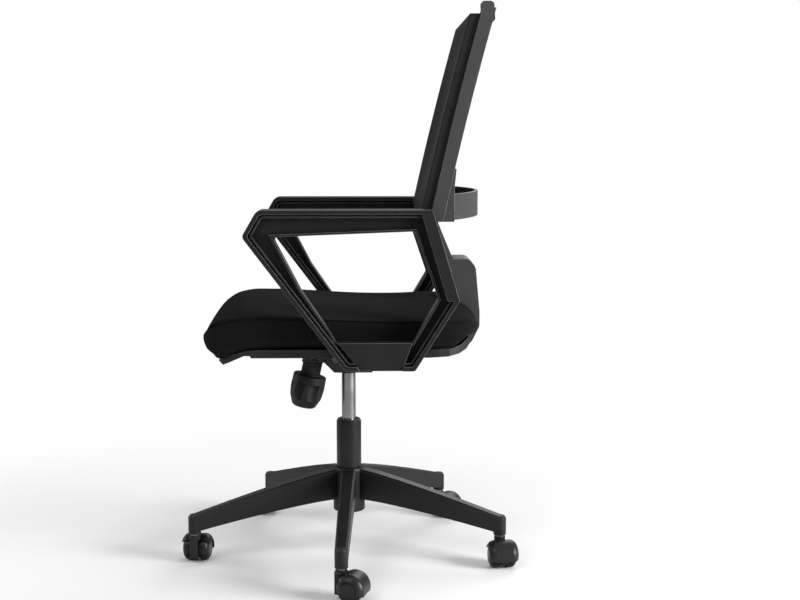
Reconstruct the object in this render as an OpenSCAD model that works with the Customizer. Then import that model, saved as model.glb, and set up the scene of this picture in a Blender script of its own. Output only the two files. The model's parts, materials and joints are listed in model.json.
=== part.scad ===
// Task chair on a five-arm base with casters, a gas lift, a tilting seat with loop arms
// and a tall mesh back. Millimetres, Z up, origin on the floor under the gas lift.
// The chair faces -Y and its left side is +X.

/* [Casters] */
// Diameter of a caster wheel
wheel_d = 50; // [45:1:56]
// Width of one wheel
wheel_w = 19; // [16:0.5:20]
// Thickness of the web between the two wheels
web_w = 15; // [14:0.5:17]
// Distance from the stem to the wheel axle, level
caster_trail = 22; // [19:0.5:25]
// Diameter of the stem that plugs into the base
stem_d = 11; // [9:0.5:11.5]
// Diameter of the wheel axle
axle_d = 6; // [5:0.5:8]

/* [Star base] */
// Radius of the circle of caster stems
base_r = 317; // [280:1:345]
// Radius of the hub round the gas lift
hub_r = 32; // [30:0.5:38]
// Height of the hub
hub_h = 87; // [78:1:100]
// Depth of an arm where it leaves the hub
leg_root_h = 61; // [48:1:68]
// Width of an arm at the hub
leg_root_w = 30; // [26:0.5:34]
// Wall of the hollow arms
leg_wall = 3.5; // [2.5:0.25:4.5]
// Height of the caster socket, from its mouth to the top of the arm's tip
tip_h = 38; // [33:0.5:45]

/* [Gas lift] */
// Diameter of the outer column
column_d = 50; // [45:0.5:52]
// Length of the outer column
column_l = 186; // [165:1:215]
// Diameter of the bright inner tube
tube_d = 28; // [26:0.5:32]
// Height adjustment
lift_stroke = 85; // [65:1:95]
// Diameter of the piston rod
rod_d = 10; // [8:0.5:11]

/* [Tilt mechanism] */
// Width of the steel housing
housing_w = 76; // [68:1:90]
// Height of the tilt pivot over the housing's floor
pivot_h = 28; // [25:0.5:31]
// Height of the seat plate over the tilt pivot
plate_h = 33; // [31:0.5:38]
// Diameter of the tilt shaft
shaft_d = 10; // [8:0.5:12]
// Thickness of the steel sheet
sheet_t = 3; // [2.5:0.25:3.5]
// Length of the tension knob
knob_h = 66; // [55:1:75]
// Diameter of the tension knob at its widest
knob_d = 68; // [58:1:74]
// Reach of the lever from the column
lever_l = 212; // [185:1:220]

/* [Seat] */
// Width of the seat
seat_w = 468; // [430:1:490]
// Reach of the seat in front of the column
seat_front = 268; // [250:1:290]
// Reach of the seat behind the column
seat_rear = 246; // [232:1:262]
// Height of the cushion over the top of its pan
cushion_h = 109; // [90:1:125]
// Thickness of the seat pan
pan_t = 15; // [13:0.5:18]

/* [Arms] */
// Width of an arm across the chair
arm_w = 50; // [42:1:60]
// Length of an arm from its front tip to its rear corner
arm_l = 393; // [370:1:410]
// Height of an arm from its foot to its top
arm_h = 293; // [270:1:320]
// Thickness of the arm's rim
arm_rim = 8; // [6:0.5:9]

/* [Back] */
// Width of the back
back_w = 450; // [415:1:458]
// Height of the back from its lower bar to the top
back_h = 400; // [360:1:440]
// Depth of a side rail
rail_d = 25; // [22:0.5:30]
// Width of a side rail across the chair
rail_w = 18; // [15:0.5:22]
// Depth of the dark frame that holds the mesh, in front of the rails
carrier_d = 17.5; // [13:0.5:19]
// Height of the lumbar band
band_h = 48; // [40:1:56]
// Width of the bracket behind the seat
bracket_w = 100; // [80:1:120]

/* [Hidden] */
caster_count = 5;

// Fineness of round parts, small round parts and rounded corners
$fn = 64;
small_fn = 32;
corner_steps = 5;
// Overrun of a cut past the face it leaves
cut = 1;
// Radial clearance of parts that turn or slide in one another
run_gap = 0.06;

// Caster
caster_headings = [70, 8, 72, 215, 172];
leg_turn = -2;
hood_gap = 1;
hood_wall = 2.5;
neck_rise = 2.5;
neck_d = 22;
neck_z_share = 0.86;
collar_d = 17;
collar_h = 4;
collar_gap = 0.3;
wheel_gap = 0.5;
wheel_face_share = 0.42;
wheel_dome_share = 0.58;
wheel_hollow_share = 0.55;
hood_reach_share = 0.74;
hood_start = -17;
hood_sweep = 152;
web_floor_gap = 10;
stem_low_h = 27;
stem_high_h = 23;
stem_tip = 1.5;
axle_z = wheel_d / 2;
hood_r = wheel_d / 2 + hood_gap + hood_wall;
neck_z = axle_z + hood_r + neck_rise;
socket_z = neck_z + collar_h;

// Star base
socket_r = stem_d / 2 + 7;
socket_bevel = 5;
leg_tip_w = 2 * socket_r - 1;
leg_bow = 1.15;
leg_belly = 1.3;
leg_stations = 8;
leg_edge = 3.5;
leg_top_wall = 4.5;
leg_tip_lift = 5;
leg_pockets = 4;
leg_rib = 3;
hub_bevel = 2;
hub_rim_h = 2;
hub_drop = 24;
hub_z = socket_z + hub_drop;
hub_top = hub_z + hub_h;
tip_top = socket_z + tip_h;

// Gas lift
column_wall = 1.5;
column_floor = 3;
column_bevel = 1.5;
bush_l = 76;
bush_lip_h = 2.5;
bush_lip_w = 6;
bearing_h = 6;
bearing_d = 28;
clip_h = 1.5;
clip_w = 4;
rod_tail = 5;
shoulder_h = 3;
shoulder_d = 24;
piston_h = 8;
tube_wall = 1.5;
tube_floor = 8;
tube_cap = 18;
tube_bevel = 1;
lift_margin = 12;
travel_gap = 1;
rod_tip = 20;
valve_d = 8;
valve_rise = 5;
valve_l = 15;
valve_room = 4;
column_top = hub_z + column_l;
shoulder_z = hub_z + column_floor + bearing_h;
tube_z = shoulder_z + shoulder_h + lift_stroke + travel_gap;
rod_top = tube_z + tube_floor + rod_tip;

// Tilt mechanism
cup_h = 37;
cup_wall = 3;
cup_drop = 5;
pivot_back = -25;
ear_r = 19;
ear_front = 22;
ear_rear = 11;
ear_gap = 0.5;
shaft_head = 3;
shaft_head_d = 15;
housing_rear = 48;
housing_front = 60;
nose_rise = 20;
nose_run = 20;
nose_start = 48;
nose_end = 45;
nose_w = 46;
plate_front = 112;
plate_rear = 75;
plate_w = 190;
waist_w = 100;
waist_front = 35;
waist_rear = 20;
plate_round = 8;
plate_hole_w = 160;
plate_hole_front = 95;
plate_hole_rear = 60;
plate_hole_d = 8;
plate_sink = 1;
plate_room = 1;
screw_d = 6;
screw_head_d = 13;
screw_head_h = 4;
screw_l = 14;
bolt_y = -62;
bolt_lean = 12.4;
bolt_d = 8;
bolt_head_d = 14;
bolt_head_h = 6;
bolt_head_low = 1.5;
bolt_room = 24;
slot_gap = 1.5;
knob_drop = 72.7;
bolt_in_knob = 38;
boot_d = 41;
boot_wall = 2;
spring_d = 26;
spring_wire = 4;
spring_turns = 5;
knob_flutes = 8;
flute_d = 40;
knob_bevel = 1.5;
pivot_y = pivot_back;
cup_z = column_top + lift_stroke + lift_margin;
floor_z = cup_z + cup_drop;
cup_top = cup_z + cup_h;
pivot_z = floor_z + pivot_h;
plate_z = pivot_z + plate_h;
nose_z = floor_z + nose_rise;

// Lever
lever_d = 7;
lever_gap = 0.6;
lever_inner = 16;
lever_pin_d = 3;
lever_pin_x = -17;
lever_bush_w = 14;
lever_bush_l = 14;
lever_slack = 1.6;
lever_out = 60;
lever_low_x = 112;
lever_low_y = -13;
lever_low_drop = 33;
lever_end_y = -16;
grip_l = 62;
grip_w = 26;
grip_end_w = 20;
grip_t = 9;
grip_round = 5;
grip_rise = 2;
shelf_l = 30;
lever_z = cup_top + valve_rise + lever_gap + lever_d / 2;

// Seat
pan_z = plate_z - plate_sink;
pan_margin = 5;
pan_corner = 62;
cushion_z = pan_z + pan_t;
// Pan outline in shares of the seat's reach and of the pan's thickness, front to rear
pan_under_shares = [
    [-0.905, -0.73], [-0.866, -1.07], [-0.785, -0.33], [-0.713, 0.27], [-0.672, 0.27],
    [-0.664, 0], [0.62, 0], [0.77, 0.13], [0.85, 0.4], [0.91, 0.87], [0.945, 1.53]
];
pan_over_shares = [
    [-0.905, -0.72], [-0.865, -0.2], [-0.79, 0.42], [-0.715, 0.83], [-0.63, 1],
    [0.62, 1], [0.79, 1.1], [0.87, 1.53], [0.925, 2.2]
];
// Top and ridge of the cushion along the seat, as shares of reach and of cushion height
cushion_top_shares = [
    [-1, 0.36], [-0.96, 0.5], [-0.88, 0.62], [-0.77, 0.69], [-0.63, 0.7], [-0.3, 0.66],
    [0, 0.62], [0.4, 0.64], [0.7, 0.7], [0.85, 0.62], [1, 0.36]
];
cushion_ridge_shares = [
    [-1, 0.33], [-0.93, 0.44], [-0.8, 0.55], [-0.58, 0.58], [-0.32, 0.555], [0, 0.51],
    [0.5, 0.49], [0.85, 0.44], [1, 0.34]
];
cushion_under_shares = [
    [-1, 0.14], [-0.97, -0.06], [-0.93, -0.15], [-0.865, -0.165], [-0.79, -0.08],
    [-0.715, -0.023], [-0.63, 0], [0.62, 0], [0.79, 0.014], [0.87, 0.073], [0.925, 0.165],
    [1, 0.3]
];
// Rings of the cushion: share of the plan, share of the way from the top to the ridge, and
// share of the way from the ridge to the underside
cushion_rings = [
    [0.3, 0, 0], [0.62, 0.02, 0], [0.82, 0.06, 0], [0.91, 0.16, 0], [0.965, 0.38, 0],
    [0.993, 0.72, 0], [1, 1, 0], [0.995, 1, 0.12], [0.995, 1, 0.5], [0.985, 1, 0.82],
    [0.95, 1, 1], [0.6, 1, 1]
];
// How far the sides of the cushion swell out at its front and at its rear
cushion_swell_shares = [0.03, 0.015];
cushion_shoulder_share = 0.012;
plan_power = 9;
cushion_sides = 56;

// Arms
arm_gap = 2;
arm_y = -188;
arm_foot_h = 16;
arm_web = 12;
arm_band = 22;
arm_rib = 3;
arm_rib_gap = 3;
arm_rib_inset = 5;
window_rim = 4;
window_rim_w = 30;
window_round = 6;
foot_reach = 96;
foot_plate = 8;
foot_rib = 4;
foot_ribs = 4;
foot_front = 4;
foot_l = 118;
arm_screw_d = 8;
arm_screw_head_d = 15;
arm_outline_shares = [[0.471, 0], [0.795, 0], [1, 0.437], [0.875, 1], [0.071, 1], [0, 0.836]];
arm_round_shares = [0.35, 0.12, 0.06, 0.06, 0.3, 0.2];
arm_window_shares = [
    [0.430, 0.174], [0.784, 0.174], [0.903, 0.444], [0.796, 0.867], [0.140, 0.833],
    [0.267, 0.505], [0.410, 0.225]
];
arm_panel_shares = [[0.545, 0], [0.734, 0], [0.784, 0.178], [0.436, 0.178]];
arm_screw_shares = [[0.25, 0.2], [0.25, 0.8], [0.75, 0.5]];
arm_z = pan_z - arm_foot_h;
arm_in = seat_w / 2 + arm_gap;
arm_top = arm_z + arm_h;
foot_y = arm_y + arm_outline_shares[0][0] * arm_l + foot_front;

// Back
back_gap_y = 152.5;
back_lean = 0.215;
back_bow = 0.032;
back_rise = 252;
back_steps = 10;
head_h_share = 0.118;
head_d = 34;
head_share = 0.85;
// Share of the head's height between its middle and its raised ends, and width of an end
head_drop_share = 0.42;
head_end_w = 26;
head_end_run = 40;
head_shares = [[-0.26, 0], [0.3, 0], [0.7, 0.3], [0.64, 0.92], [0.48, 1], [-0.06, 1], [0.03, 0.7]];
bar_h = 28;
bar_d = 22;
bar_round = 6;
carrier_w = 20;
carrier_bar_h = 16;
carrier_low_share = 0.03;
carrier_top_share = 0.945;
mesh_t = 2;
band_t = 6;
band_bulge = 59;
band_rise = 3;
band_steps = 24;
ear_l = 97;
ear_t = 21;
ear_end_t = 3;
band_screw_d = 5;
band_screw_head_d = 9;
band_screw_l = 16;
spine_w = 88;
spine_t = 14;
spine_end = 128;
pocket_gap = 0.3;
bracket_top_rise = 168;
bracket_rounds = [2, 14, 14, 14, 20, 20, 24, 14, 3, 8, 14, 14, 14, 8, 8, 8, 8, 2];
bracket_foot_t = 12;
bracket_foot_front = 92;
bracket_wall = 5;
// Outline of the bracket, measured from its rear face and its foot, its top and the pan
bracket_low_places = [[-26, 0], [-6, 16], [9, 46], [9, 76], [4, 130], [1, 164]];
bracket_high_places = [[-12, 0], [-62, 0], [-62, -72], [-38, -80], [-13, -98], [0, -115]];
bracket_pan_places = [[-7, 26], [-20, 12], [-36, 4], [-60, 0]];
bracket_hollow_places = [[-63, -40], [-33, -62], [-14, -84], [-6, -112], [-63, -112]];
bracket_screw_d = 6;
bracket_screw_head_d = 12;
bracket_clear = 1.5;
spine_screw_drop = 28;
spine_screw_l = 45;
back_z = pan_z + back_rise;
back_top = back_z + back_h;

// A point of the front face of the side rails, where t runs from 0 at the bar to 1 at the top
function back_line(t) = [back_gap_y + back_h * (back_lean * t + back_bow * t * t), back_z + back_h * t];

// Points on a circular arc
function arc_points(centre, r, from, to, steps) = [
    for (i = [0:steps])
        let (a = from + (to - from) * i / steps)
            centre + r * [cos(a), sin(a)]
];

// Points moved to be measured from another point
function moved(points, from) = [for (p = points) from + p];

// Unit vector
function unit(v) = v / norm(v);

// The arc that rounds the corner p1 between p0 and p2
function corner(p0, p1, p2, r) =
    let (
        u = unit(p0 - p1),
        v = unit(p2 - p1),
        half = acos(u * v) / 2,
        reach = min(r / tan(half), norm(p0 - p1) / 2.2, norm(p2 - p1) / 2.2),
        radius = reach * tan(half),
        centre = p1 + unit(u + v) * radius / sin(half),
        s = p1 + u * reach - centre,
        e = p1 + v * reach - centre,
        a = atan2(s[1], s[0]),
        d = atan2(e[1], e[0]) - a,
        sweep = d > 180 ? d - 360 : d < -180 ? d + 360 : d
    )
    arc_points(centre, radius, a, a + sweep, corner_steps);

// An outline with its corners rounded, by one radius or by one for each corner
function rounded(points, r) = [
    for (i = [0:len(points) - 1])
        let (n = len(points), radius = is_list(r) ? r[i] : r)
            each radius > 0
                ? corner(points[(i + n - 1) % n], points[i], points[(i + 1) % n], radius)
                : [points[i]]
];

// An anticlockwise outline moved inwards by d, or outwards where d is negative
function inset(points, d) = [
    for (i = [0:len(points) - 1])
        let (
            n = len(points),
            u = unit(points[i] - points[(i + n - 1) % n]),
            v = unit(points[(i + 1) % n] - points[i]),
            nu = [-u[1], u[0]],
            nv = [-v[1], v[0]]
        )
        points[i] + (nu + nv) * d / (1 + nu * nv)
];

// The same outline in order from its other end
function turned(points) = [for (i = [len(points) - 1:-1:0]) points[i]];

// A closed surface through equal sections, each a loop of points, with both ends capped
module loft(sections) {
    n = len(sections[0]);
    last = len(sections) - 1;
    polyhedron(
        points = [for (s = sections) each s],
        faces = [
            [for (i = [n - 1:-1:0]) i],
            for (k = [0:last - 1], i = [0:n - 1])
                let (a = k * n + i, b = k * n + (i + 1) % n)
                    each [[a, b, b + n], [a, b + n, a + n]],
            [for (i = [0:n - 1]) last * n + i]
        ],
        convexity = 6
    );
}

// An outline in Y and Z carried across the chair, centred on x
module across(points, width, x = 0) {
    translate([x, 0, 0])
        rotate([90, 0, 90])
            linear_extrude(height = width, center = true)
                polygon(points);
}

// An outline in X and Z carried along Y, from y to y + depth
module lengthwise(points, depth, y = 0) {
    translate([0, y + depth, 0])
        rotate([90, 0, 0])
            linear_extrude(height = depth)
                polygon(points);
}

// A tube or a bored disc from z0 to z1
module ring(outer_d, inner_d, z0, z1) {
    translate([0, 0, z0])
        difference() {
            cylinder(d = outer_d, h = z1 - z0);
            translate([0, 0, -cut])
                cylinder(d = inner_d, h = z1 - z0 + 2 * cut);
        }
}

// A round bar between two points
module bar(p, q, d) {
    v = q - p;
    translate(p)
        rotate([0, acos(v[2] / norm(v)), atan2(v[1], v[0])])
            cylinder(d = d, h = norm(v));
}

// A screw with a rounded head below its seat, shank upwards
module screw(d, head_d, l) {
    cylinder(d = d, h = l);
    translate([0, 0, -screw_head_h])
        cylinder(d1 = head_d - screw_head_h, d2 = head_d, h = screw_head_h);
}

// Casters

function leg_angle(i) = leg_turn + i * 360 / caster_count;

module at_caster(i) {
    translate([base_r * cos(leg_angle(i)), base_r * sin(leg_angle(i)), 0])
        rotate([0, 0, caster_headings[i]])
            children();
}

// The wheel axle's line, with local Z along the axle
module at_axle() {
    translate([caster_trail, 0, axle_z])
        rotate([-90, 0, 0])
            children();
}

// Outer profile of a wheel, radius against distance from the middle of the caster
wheel_in = web_w / 2 + wheel_gap;
wheel_out = wheel_in + wheel_w;
function wheel_rim(grow, reach) =
    let (
        dome = wheel_w * wheel_dome_share,
        face_r = wheel_d / 2 * wheel_face_share,
        flat = wheel_out - dome
    )
    [
        for (i = [0:8])
            let (a = reach * i / 8)
                [face_r + (wheel_d / 2 - face_r + grow) * cos(a), flat + (dome + grow) * sin(a)]
    ];

module caster_hood(i) {
    color([0.11, 0.11, 0.12])
    at_caster(i)
    difference() {
        union() {
            at_axle()
                rotate([0, 0, -hood_start])
                    mirror([0, 1, 0])
                        rotate_extrude(angle = hood_sweep)
                            polygon(concat(
                                [[wheel_d / 2 + hood_gap, 0], [hood_r, 0]],
                                wheel_rim(hood_gap + hood_wall, 90 * hood_reach_share),
                                turned(wheel_rim(hood_gap, 90 * hood_reach_share))
                            ));
            at_axle()
                rotate([0, 0, -hood_start])
                    mirror([0, 1, 0])
                        mirror([0, 0, 1])
                            rotate_extrude(angle = hood_sweep)
                                polygon(concat(
                                    [[wheel_d / 2 + hood_gap, 0], [hood_r, 0]],
                                    wheel_rim(hood_gap + hood_wall, 90 * hood_reach_share),
                                    turned(wheel_rim(hood_gap, 90 * hood_reach_share))
                                ));
            intersection() {
                union() {
                    at_axle()
                        cylinder(r = wheel_d / 2 + hood_gap + cut, h = web_w, center = true);
                    translate([-neck_d / 2, -web_w / 2, 0])
                        cube([neck_d, web_w, neck_z - neck_rise]);
                }
                translate([-neck_d / 2, -hood_r, web_floor_gap])
                    cube([caster_trail + 2 * hood_r, 2 * hood_r, neck_z]);
            }
            translate([0, 0, neck_z * neck_z_share])
                cylinder(d = neck_d, h = neck_z - neck_z * neck_z_share);
        }
        translate([0, 0, neck_z - stem_low_h])
            cylinder(d = stem_d + 2 * run_gap, h = stem_low_h + cut);
        at_axle()
            cylinder(d = axle_d, h = 2 * hood_r, center = true);
    }
}

module caster_stem(i) {
    color([0.7, 0.7, 0.72])
    at_caster(i) {
        translate([0, 0, neck_z - stem_low_h + collar_gap])
            cylinder(d = stem_d, h = stem_low_h + collar_h + stem_high_h - stem_tip);
        translate([0, 0, neck_z + collar_gap])
            cylinder(d = collar_d, h = collar_h - collar_gap);
        translate([0, 0, neck_z + collar_h + stem_high_h - stem_tip])
            cylinder(d1 = stem_d, d2 = stem_d - 2 * stem_tip, h = stem_tip);
    }
}

module caster_axle(i) {
    color([0.7, 0.7, 0.72])
    at_caster(i)
    at_axle()
        cylinder(d = axle_d, h = 2 * (wheel_in + wheel_w * wheel_hollow_share), center = true);
}

module caster_wheel(i, side) {
    bore_l = wheel_w * wheel_hollow_share + wheel_gap;
    color([0.09, 0.09, 0.1])
    at_caster(i)
    at_axle()
    scale([1, 1, side])
    difference() {
        rotate_extrude()
            polygon(concat(
                [[0, wheel_in], [wheel_d / 2 - wheel_gap, wheel_in], [wheel_d / 2, wheel_in + wheel_gap]],
                wheel_rim(0, 90),
                [[0, wheel_out]]
            ));
        translate([0, 0, wheel_in - cut])
            cylinder(d = axle_d + 2 * run_gap, h = bore_l + cut);
        ring(wheel_d * 0.8, axle_d * 2.6, wheel_in - cut, wheel_in + wheel_w * 0.4);
    }
}

// Star base

// Section of an arm of the base, s from 0 at the hub to 1 at the stem, drawn in by t
function leg_section(s, t, top_t) =
    let (
        x = hub_r + (base_r - hub_r) * s,
        w = (leg_root_w + (leg_tip_w - leg_root_w) * s) / 2 - t,
        top = hub_top - (hub_top - tip_top) * pow(s, leg_bow) - top_t,
        root = hub_top - leg_root_h,
        low = root - (root - socket_z - leg_tip_lift) * pow(s, leg_belly) - (t > 0 ? cut : 0),
        e = max(leg_edge - t, leg_edge / 4)
    )
    [[x, -w, low], [x, -w, top - e], [x, e - w, top], [x, w - e, top], [x, w, top - e], [x, w, low]];

// An arm of the base along X, hollow below and ribbed across
module leg() {
    difference() {
        loft([
            [for (p = leg_section(0, 0, 0)) [p[0] - leg_wall * 2, p[1], p[2]]],
            for (k = [0:leg_stations])
                leg_section(k / leg_stations, 0, 0)
        ]);
        for (k = [0:leg_pockets - 1])
            loft([
                for (j = [0:2])
                    leg_section(
                        0.02 + 0.88 * (k + j / 2) / leg_pockets + (1 - j) * leg_rib / base_r,
                        leg_wall, leg_top_wall
                    )
            ]);
    }
}

module star_base() {
    color([0.1, 0.1, 0.11])
    difference() {
        union() {
            for (i = [0:caster_count - 1])
                rotate([0, 0, leg_angle(i)]) {
                    leg();
                    translate([base_r, 0, socket_z])
                        cylinder(r = socket_r, h = tip_h - socket_bevel);
                    translate([base_r, 0, tip_top - socket_bevel])
                        cylinder(r1 = socket_r, r2 = socket_r - socket_bevel * 0.7, h = socket_bevel);
                }
            rotate_extrude()
                polygon([
                    [0, hub_z], [hub_r - hub_bevel, hub_z], [hub_r, hub_z + hub_bevel],
                    [hub_r, hub_top - hub_bevel], [hub_r - hub_bevel, hub_top + hub_rim_h],
                    [0, hub_top + hub_rim_h]
                ]);
        }
        translate([0, 0, hub_z - cut])
            cylinder(d = column_d, h = hub_h + hub_rim_h + 2 * cut);
        for (i = [0:caster_count - 1])
            rotate([0, 0, leg_angle(i)])
                translate([base_r, 0, socket_z - cut])
                    cylinder(d = stem_d, h = stem_high_h + cut);
    }
}

// Gas lift

module gas_column() {
    color([0.12, 0.12, 0.13])
    difference() {
        rotate_extrude()
            polygon([
                [0, hub_z], [column_d / 2, hub_z], [column_d / 2, column_top - column_bevel],
                [column_d / 2 - column_bevel, column_top], [0, column_top]
            ]);
        translate([0, 0, hub_z + column_floor])
            cylinder(d = column_d - 2 * column_wall, h = column_l);
        translate([0, 0, hub_z - cut])
            cylinder(d = rod_d + 2 * run_gap, h = column_floor + 2 * cut);
    }
}

module column_bush() {
    color([0.16, 0.16, 0.17])
    difference() {
        union() {
            translate([0, 0, column_top - bush_l])
                cylinder(d = column_d - 2 * column_wall, h = bush_l);
            translate([0, 0, column_top])
                cylinder(d1 = column_d - bush_lip_w / 2, d2 = column_d - bush_lip_w, h = bush_lip_h);
        }
        translate([0, 0, column_top - bush_l - cut])
            cylinder(d = tube_d + 2 * run_gap, h = bush_l + bush_lip_h + 2 * cut);
    }
}

module thrust_bearing() {
    color([0.62, 0.62, 0.64])
    ring(bearing_d, rod_d + 2 * run_gap, hub_z + column_floor, shoulder_z);
}

module piston_rod() {
    color([0.72, 0.72, 0.74]) {
        translate([0, 0, hub_z - rod_tail])
            cylinder(d = rod_d, h = rod_top - hub_z + rod_tail);
        translate([0, 0, shoulder_z + run_gap])
            cylinder(d = shoulder_d, h = shoulder_h - run_gap);
        translate([0, 0, rod_top - piston_h])
            cylinder(d = tube_d - 2 * tube_wall - 2 * run_gap, h = piston_h);
    }
}

module rod_clip() {
    color([0.5, 0.5, 0.52])
    ring(rod_d + 2 * clip_w, rod_d, hub_z - run_gap - clip_h, hub_z - run_gap);
}

module pressure_tube() {
    color([0.8, 0.81, 0.83])
    difference() {
        rotate_extrude()
            polygon([
                [0, tube_z], [tube_d / 2 - tube_bevel, tube_z], [tube_d / 2, tube_z + tube_bevel],
                [tube_d / 2, cup_top], [0, cup_top]
            ]);
        translate([0, 0, tube_z + tube_floor])
            cylinder(d = tube_d - 2 * tube_wall, h = cup_top - tube_cap - tube_z - tube_floor);
        translate([0, 0, tube_z - cut])
            cylinder(d = rod_d + 2 * run_gap, h = tube_floor + 2 * cut);
        translate([0, 0, cup_top + valve_rise - valve_l - valve_room])
            cylinder(d = valve_d + 2 * run_gap, h = valve_l + valve_room);
    }
}

module valve_pin() {
    color([0.3, 0.3, 0.32])
    translate([0, 0, cup_top + valve_rise - valve_l])
        cylinder(d = valve_d, h = valve_l);
}

// Tilt mechanism

module taper_cup() {
    color([0.13, 0.13, 0.14])
    ring(tube_d + 2 * cup_wall, tube_d, cup_z, cup_top);
}

// Side wall of the housing, lower towards the rear so that the tilting plate clears it
module housing_wall(x) {
    across(
        rounded([
            [housing_rear, floor_z],
            [housing_rear, floor_z + pivot_h * 0.9],
            [pivot_y + ear_r * 1.5, floor_z + pivot_h * 1.65],
            [-housing_front + ear_gap, floor_z + pivot_h * 1.85],
            [-housing_front, nose_z],
            [-nose_start, nose_z],
            [nose_run - nose_start, floor_z]
        ], sheet_t),
        sheet_t, x
    );
}

module tilt_housing() {
    inner = housing_w - 2 * sheet_t;
    color([0.12, 0.12, 0.13])
    difference() {
        union() {
            for (side = [-1, 1])
                housing_wall(side * (housing_w - sheet_t) / 2);
            across([
                [-housing_front, nose_z], [-nose_start, nose_z], [nose_run - nose_start, floor_z],
                [housing_rear, floor_z], [housing_rear, floor_z + sheet_t],
                [nose_run - nose_start + sheet_t / 2, floor_z + sheet_t],
                [-nose_start + sheet_t / 2, nose_z + sheet_t], [-housing_front, nose_z + sheet_t]
            ], inner + sheet_t);
            translate([-nose_w / 2, -nose_start - nose_end, nose_z])
                cube([nose_w, nose_end - sheet_t, sheet_t]);
            translate([-inner / 2, -lever_bush_w / 2, lever_z - lever_bush_w / 2 - sheet_t - run_gap])
                cube([shelf_l - tube_d / 2, lever_bush_w, sheet_t]);
            translate([housing_w / 2 - sheet_t - cut, 0, 0])
                across(
                    [
                        [housing_rear - sheet_t, floor_z], [housing_rear, floor_z],
                        [housing_rear, floor_z + pivot_h * 0.8],
                        [housing_rear - sheet_t, floor_z + pivot_h * 0.8]
                    ],
                    inner + sheet_t, cut + sheet_t - housing_w / 2
                );
        }
        translate([0, 0, floor_z - cut])
            cylinder(d = tube_d + 2 * cup_wall, h = sheet_t + 2 * cut);
        translate([-housing_w, pivot_y, pivot_z])
            rotate([0, 90, 0])
                cylinder(d = shaft_d + 2 * run_gap, h = 2 * housing_w);
        translate([-housing_w / 2 - cut, -lever_d / 2 - lever_slack / 2, lever_z - lever_d])
            cube([sheet_t + 2 * cut, lever_d + lever_slack, 2 * lever_d]);
        translate([-bolt_d / 2 - slot_gap, -nose_start - nose_end - cut, nose_z - cut])
            cube([bolt_d + 2 * slot_gap, nose_end - nose_run + bolt_d + cut, sheet_t + 2 * cut]);
    }
}

// The tension bolt's line: local Z points up it, and zero is on the underside of the seat plate
module at_bolt() {
    translate([0, bolt_y, plate_z])
        rotate([-bolt_lean, 0, 0])
            children();
}

module seat_plate() {
    outline = [
        [waist_w / 2, -waist_front], [waist_w / 2, waist_rear],
        [plate_w / 2, waist_rear * 2], [plate_w / 2, plate_rear],
        [-plate_w / 2, plate_rear], [-plate_w / 2, waist_rear * 2],
        [-waist_w / 2, waist_rear], [-waist_w / 2, -waist_front],
        [-plate_w / 2, -waist_front * 1.8], [-plate_w / 2, -plate_front],
        [plate_w / 2, -plate_front], [plate_w / 2, -waist_front * 1.8]
    ];
    ear_x = housing_w / 2 + ear_gap + sheet_t / 2;
    color([0.13, 0.13, 0.14])
    difference() {
        union() {
            translate([0, 0, plate_z])
                linear_extrude(height = sheet_t)
                    polygon(rounded(outline, plate_round));
            for (side = [-1, 1]) {
                across([
                    [pivot_y - ear_r, pivot_z], [pivot_y + ear_rear, pivot_z],
                    [pivot_y + ear_rear, plate_z + sheet_t / 2],
                    [pivot_y - ear_front, plate_z + sheet_t / 2]
                ], sheet_t, side * ear_x);
                translate([side * ear_x, pivot_y, pivot_z])
                    rotate([0, 90, 0])
                        cylinder(r = ear_r, h = sheet_t, center = true);
            }
        }
        for (x = [-1, 1], y = [-plate_hole_front, plate_hole_rear])
            translate([x * plate_hole_w / 2, y, plate_z - cut])
                cylinder(d = plate_hole_d, h = sheet_t + 2 * cut);
        translate([-housing_w, pivot_y, pivot_z])
            rotate([0, 90, 0])
                cylinder(d = shaft_d, h = 2 * housing_w);
        at_bolt()
            cylinder(d = bolt_d, h = 6 * sheet_t, center = true);
    }
}

module plate_screws() {
    color([0.55, 0.55, 0.57])
    for (x = [-1, 1], y = [-plate_hole_front, plate_hole_rear])
        translate([x * plate_hole_w / 2, y, plate_z])
            screw(screw_d, screw_head_d, screw_l - cut);
}

module tilt_shaft() {
    half = housing_w / 2 + ear_gap + sheet_t;
    color([0.5, 0.5, 0.52])
    translate([0, pivot_y, pivot_z])
        rotate([0, 90, 0]) {
            cylinder(d = shaft_d, h = 2 * (half + shaft_head), center = true);
            for (side = [-1, 1])
                translate([0, 0, side * (half + shaft_head / 2)])
                    cylinder(d = shaft_head_d, h = shaft_head, center = true);
        }
}

module tension_bolt() {
    color([0.6, 0.6, 0.62])
    at_bolt() {
        translate([0, 0, -knob_drop - bolt_in_knob])
            cylinder(d = bolt_d, h = knob_drop + bolt_in_knob + sheet_t);
        translate([0, 0, sheet_t - bolt_head_low])
            cylinder(d = bolt_head_d, h = bolt_head_h, $fn = 6);
    }
}

// Coil spring under the nose of the housing, a tube carried round a helix
module tension_spring() {
    rings_per_turn = 12;
    sides = 6;
    low = -knob_drop + spring_wire / 2;
    length = knob_drop - (plate_z - nose_z) / cos(bolt_lean) - 2 * spring_wire;
    color([0.45, 0.45, 0.47])
    at_bolt()
        loft([
            for (k = [0:spring_turns * rings_per_turn])
                let (
                    a = 360 * k / rings_per_turn,
                    z = low + length * k / (spring_turns * rings_per_turn)
                )
                [
                    for (j = [0:sides - 1])
                        let (
                            b = -360 * j / sides,
                            r = spring_d / 2 + spring_wire / 2 * cos(b)
                        )
                        [r * cos(a), r * sin(a), z + spring_wire / 2 * sin(b)]
                ]
        ]);
}

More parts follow.
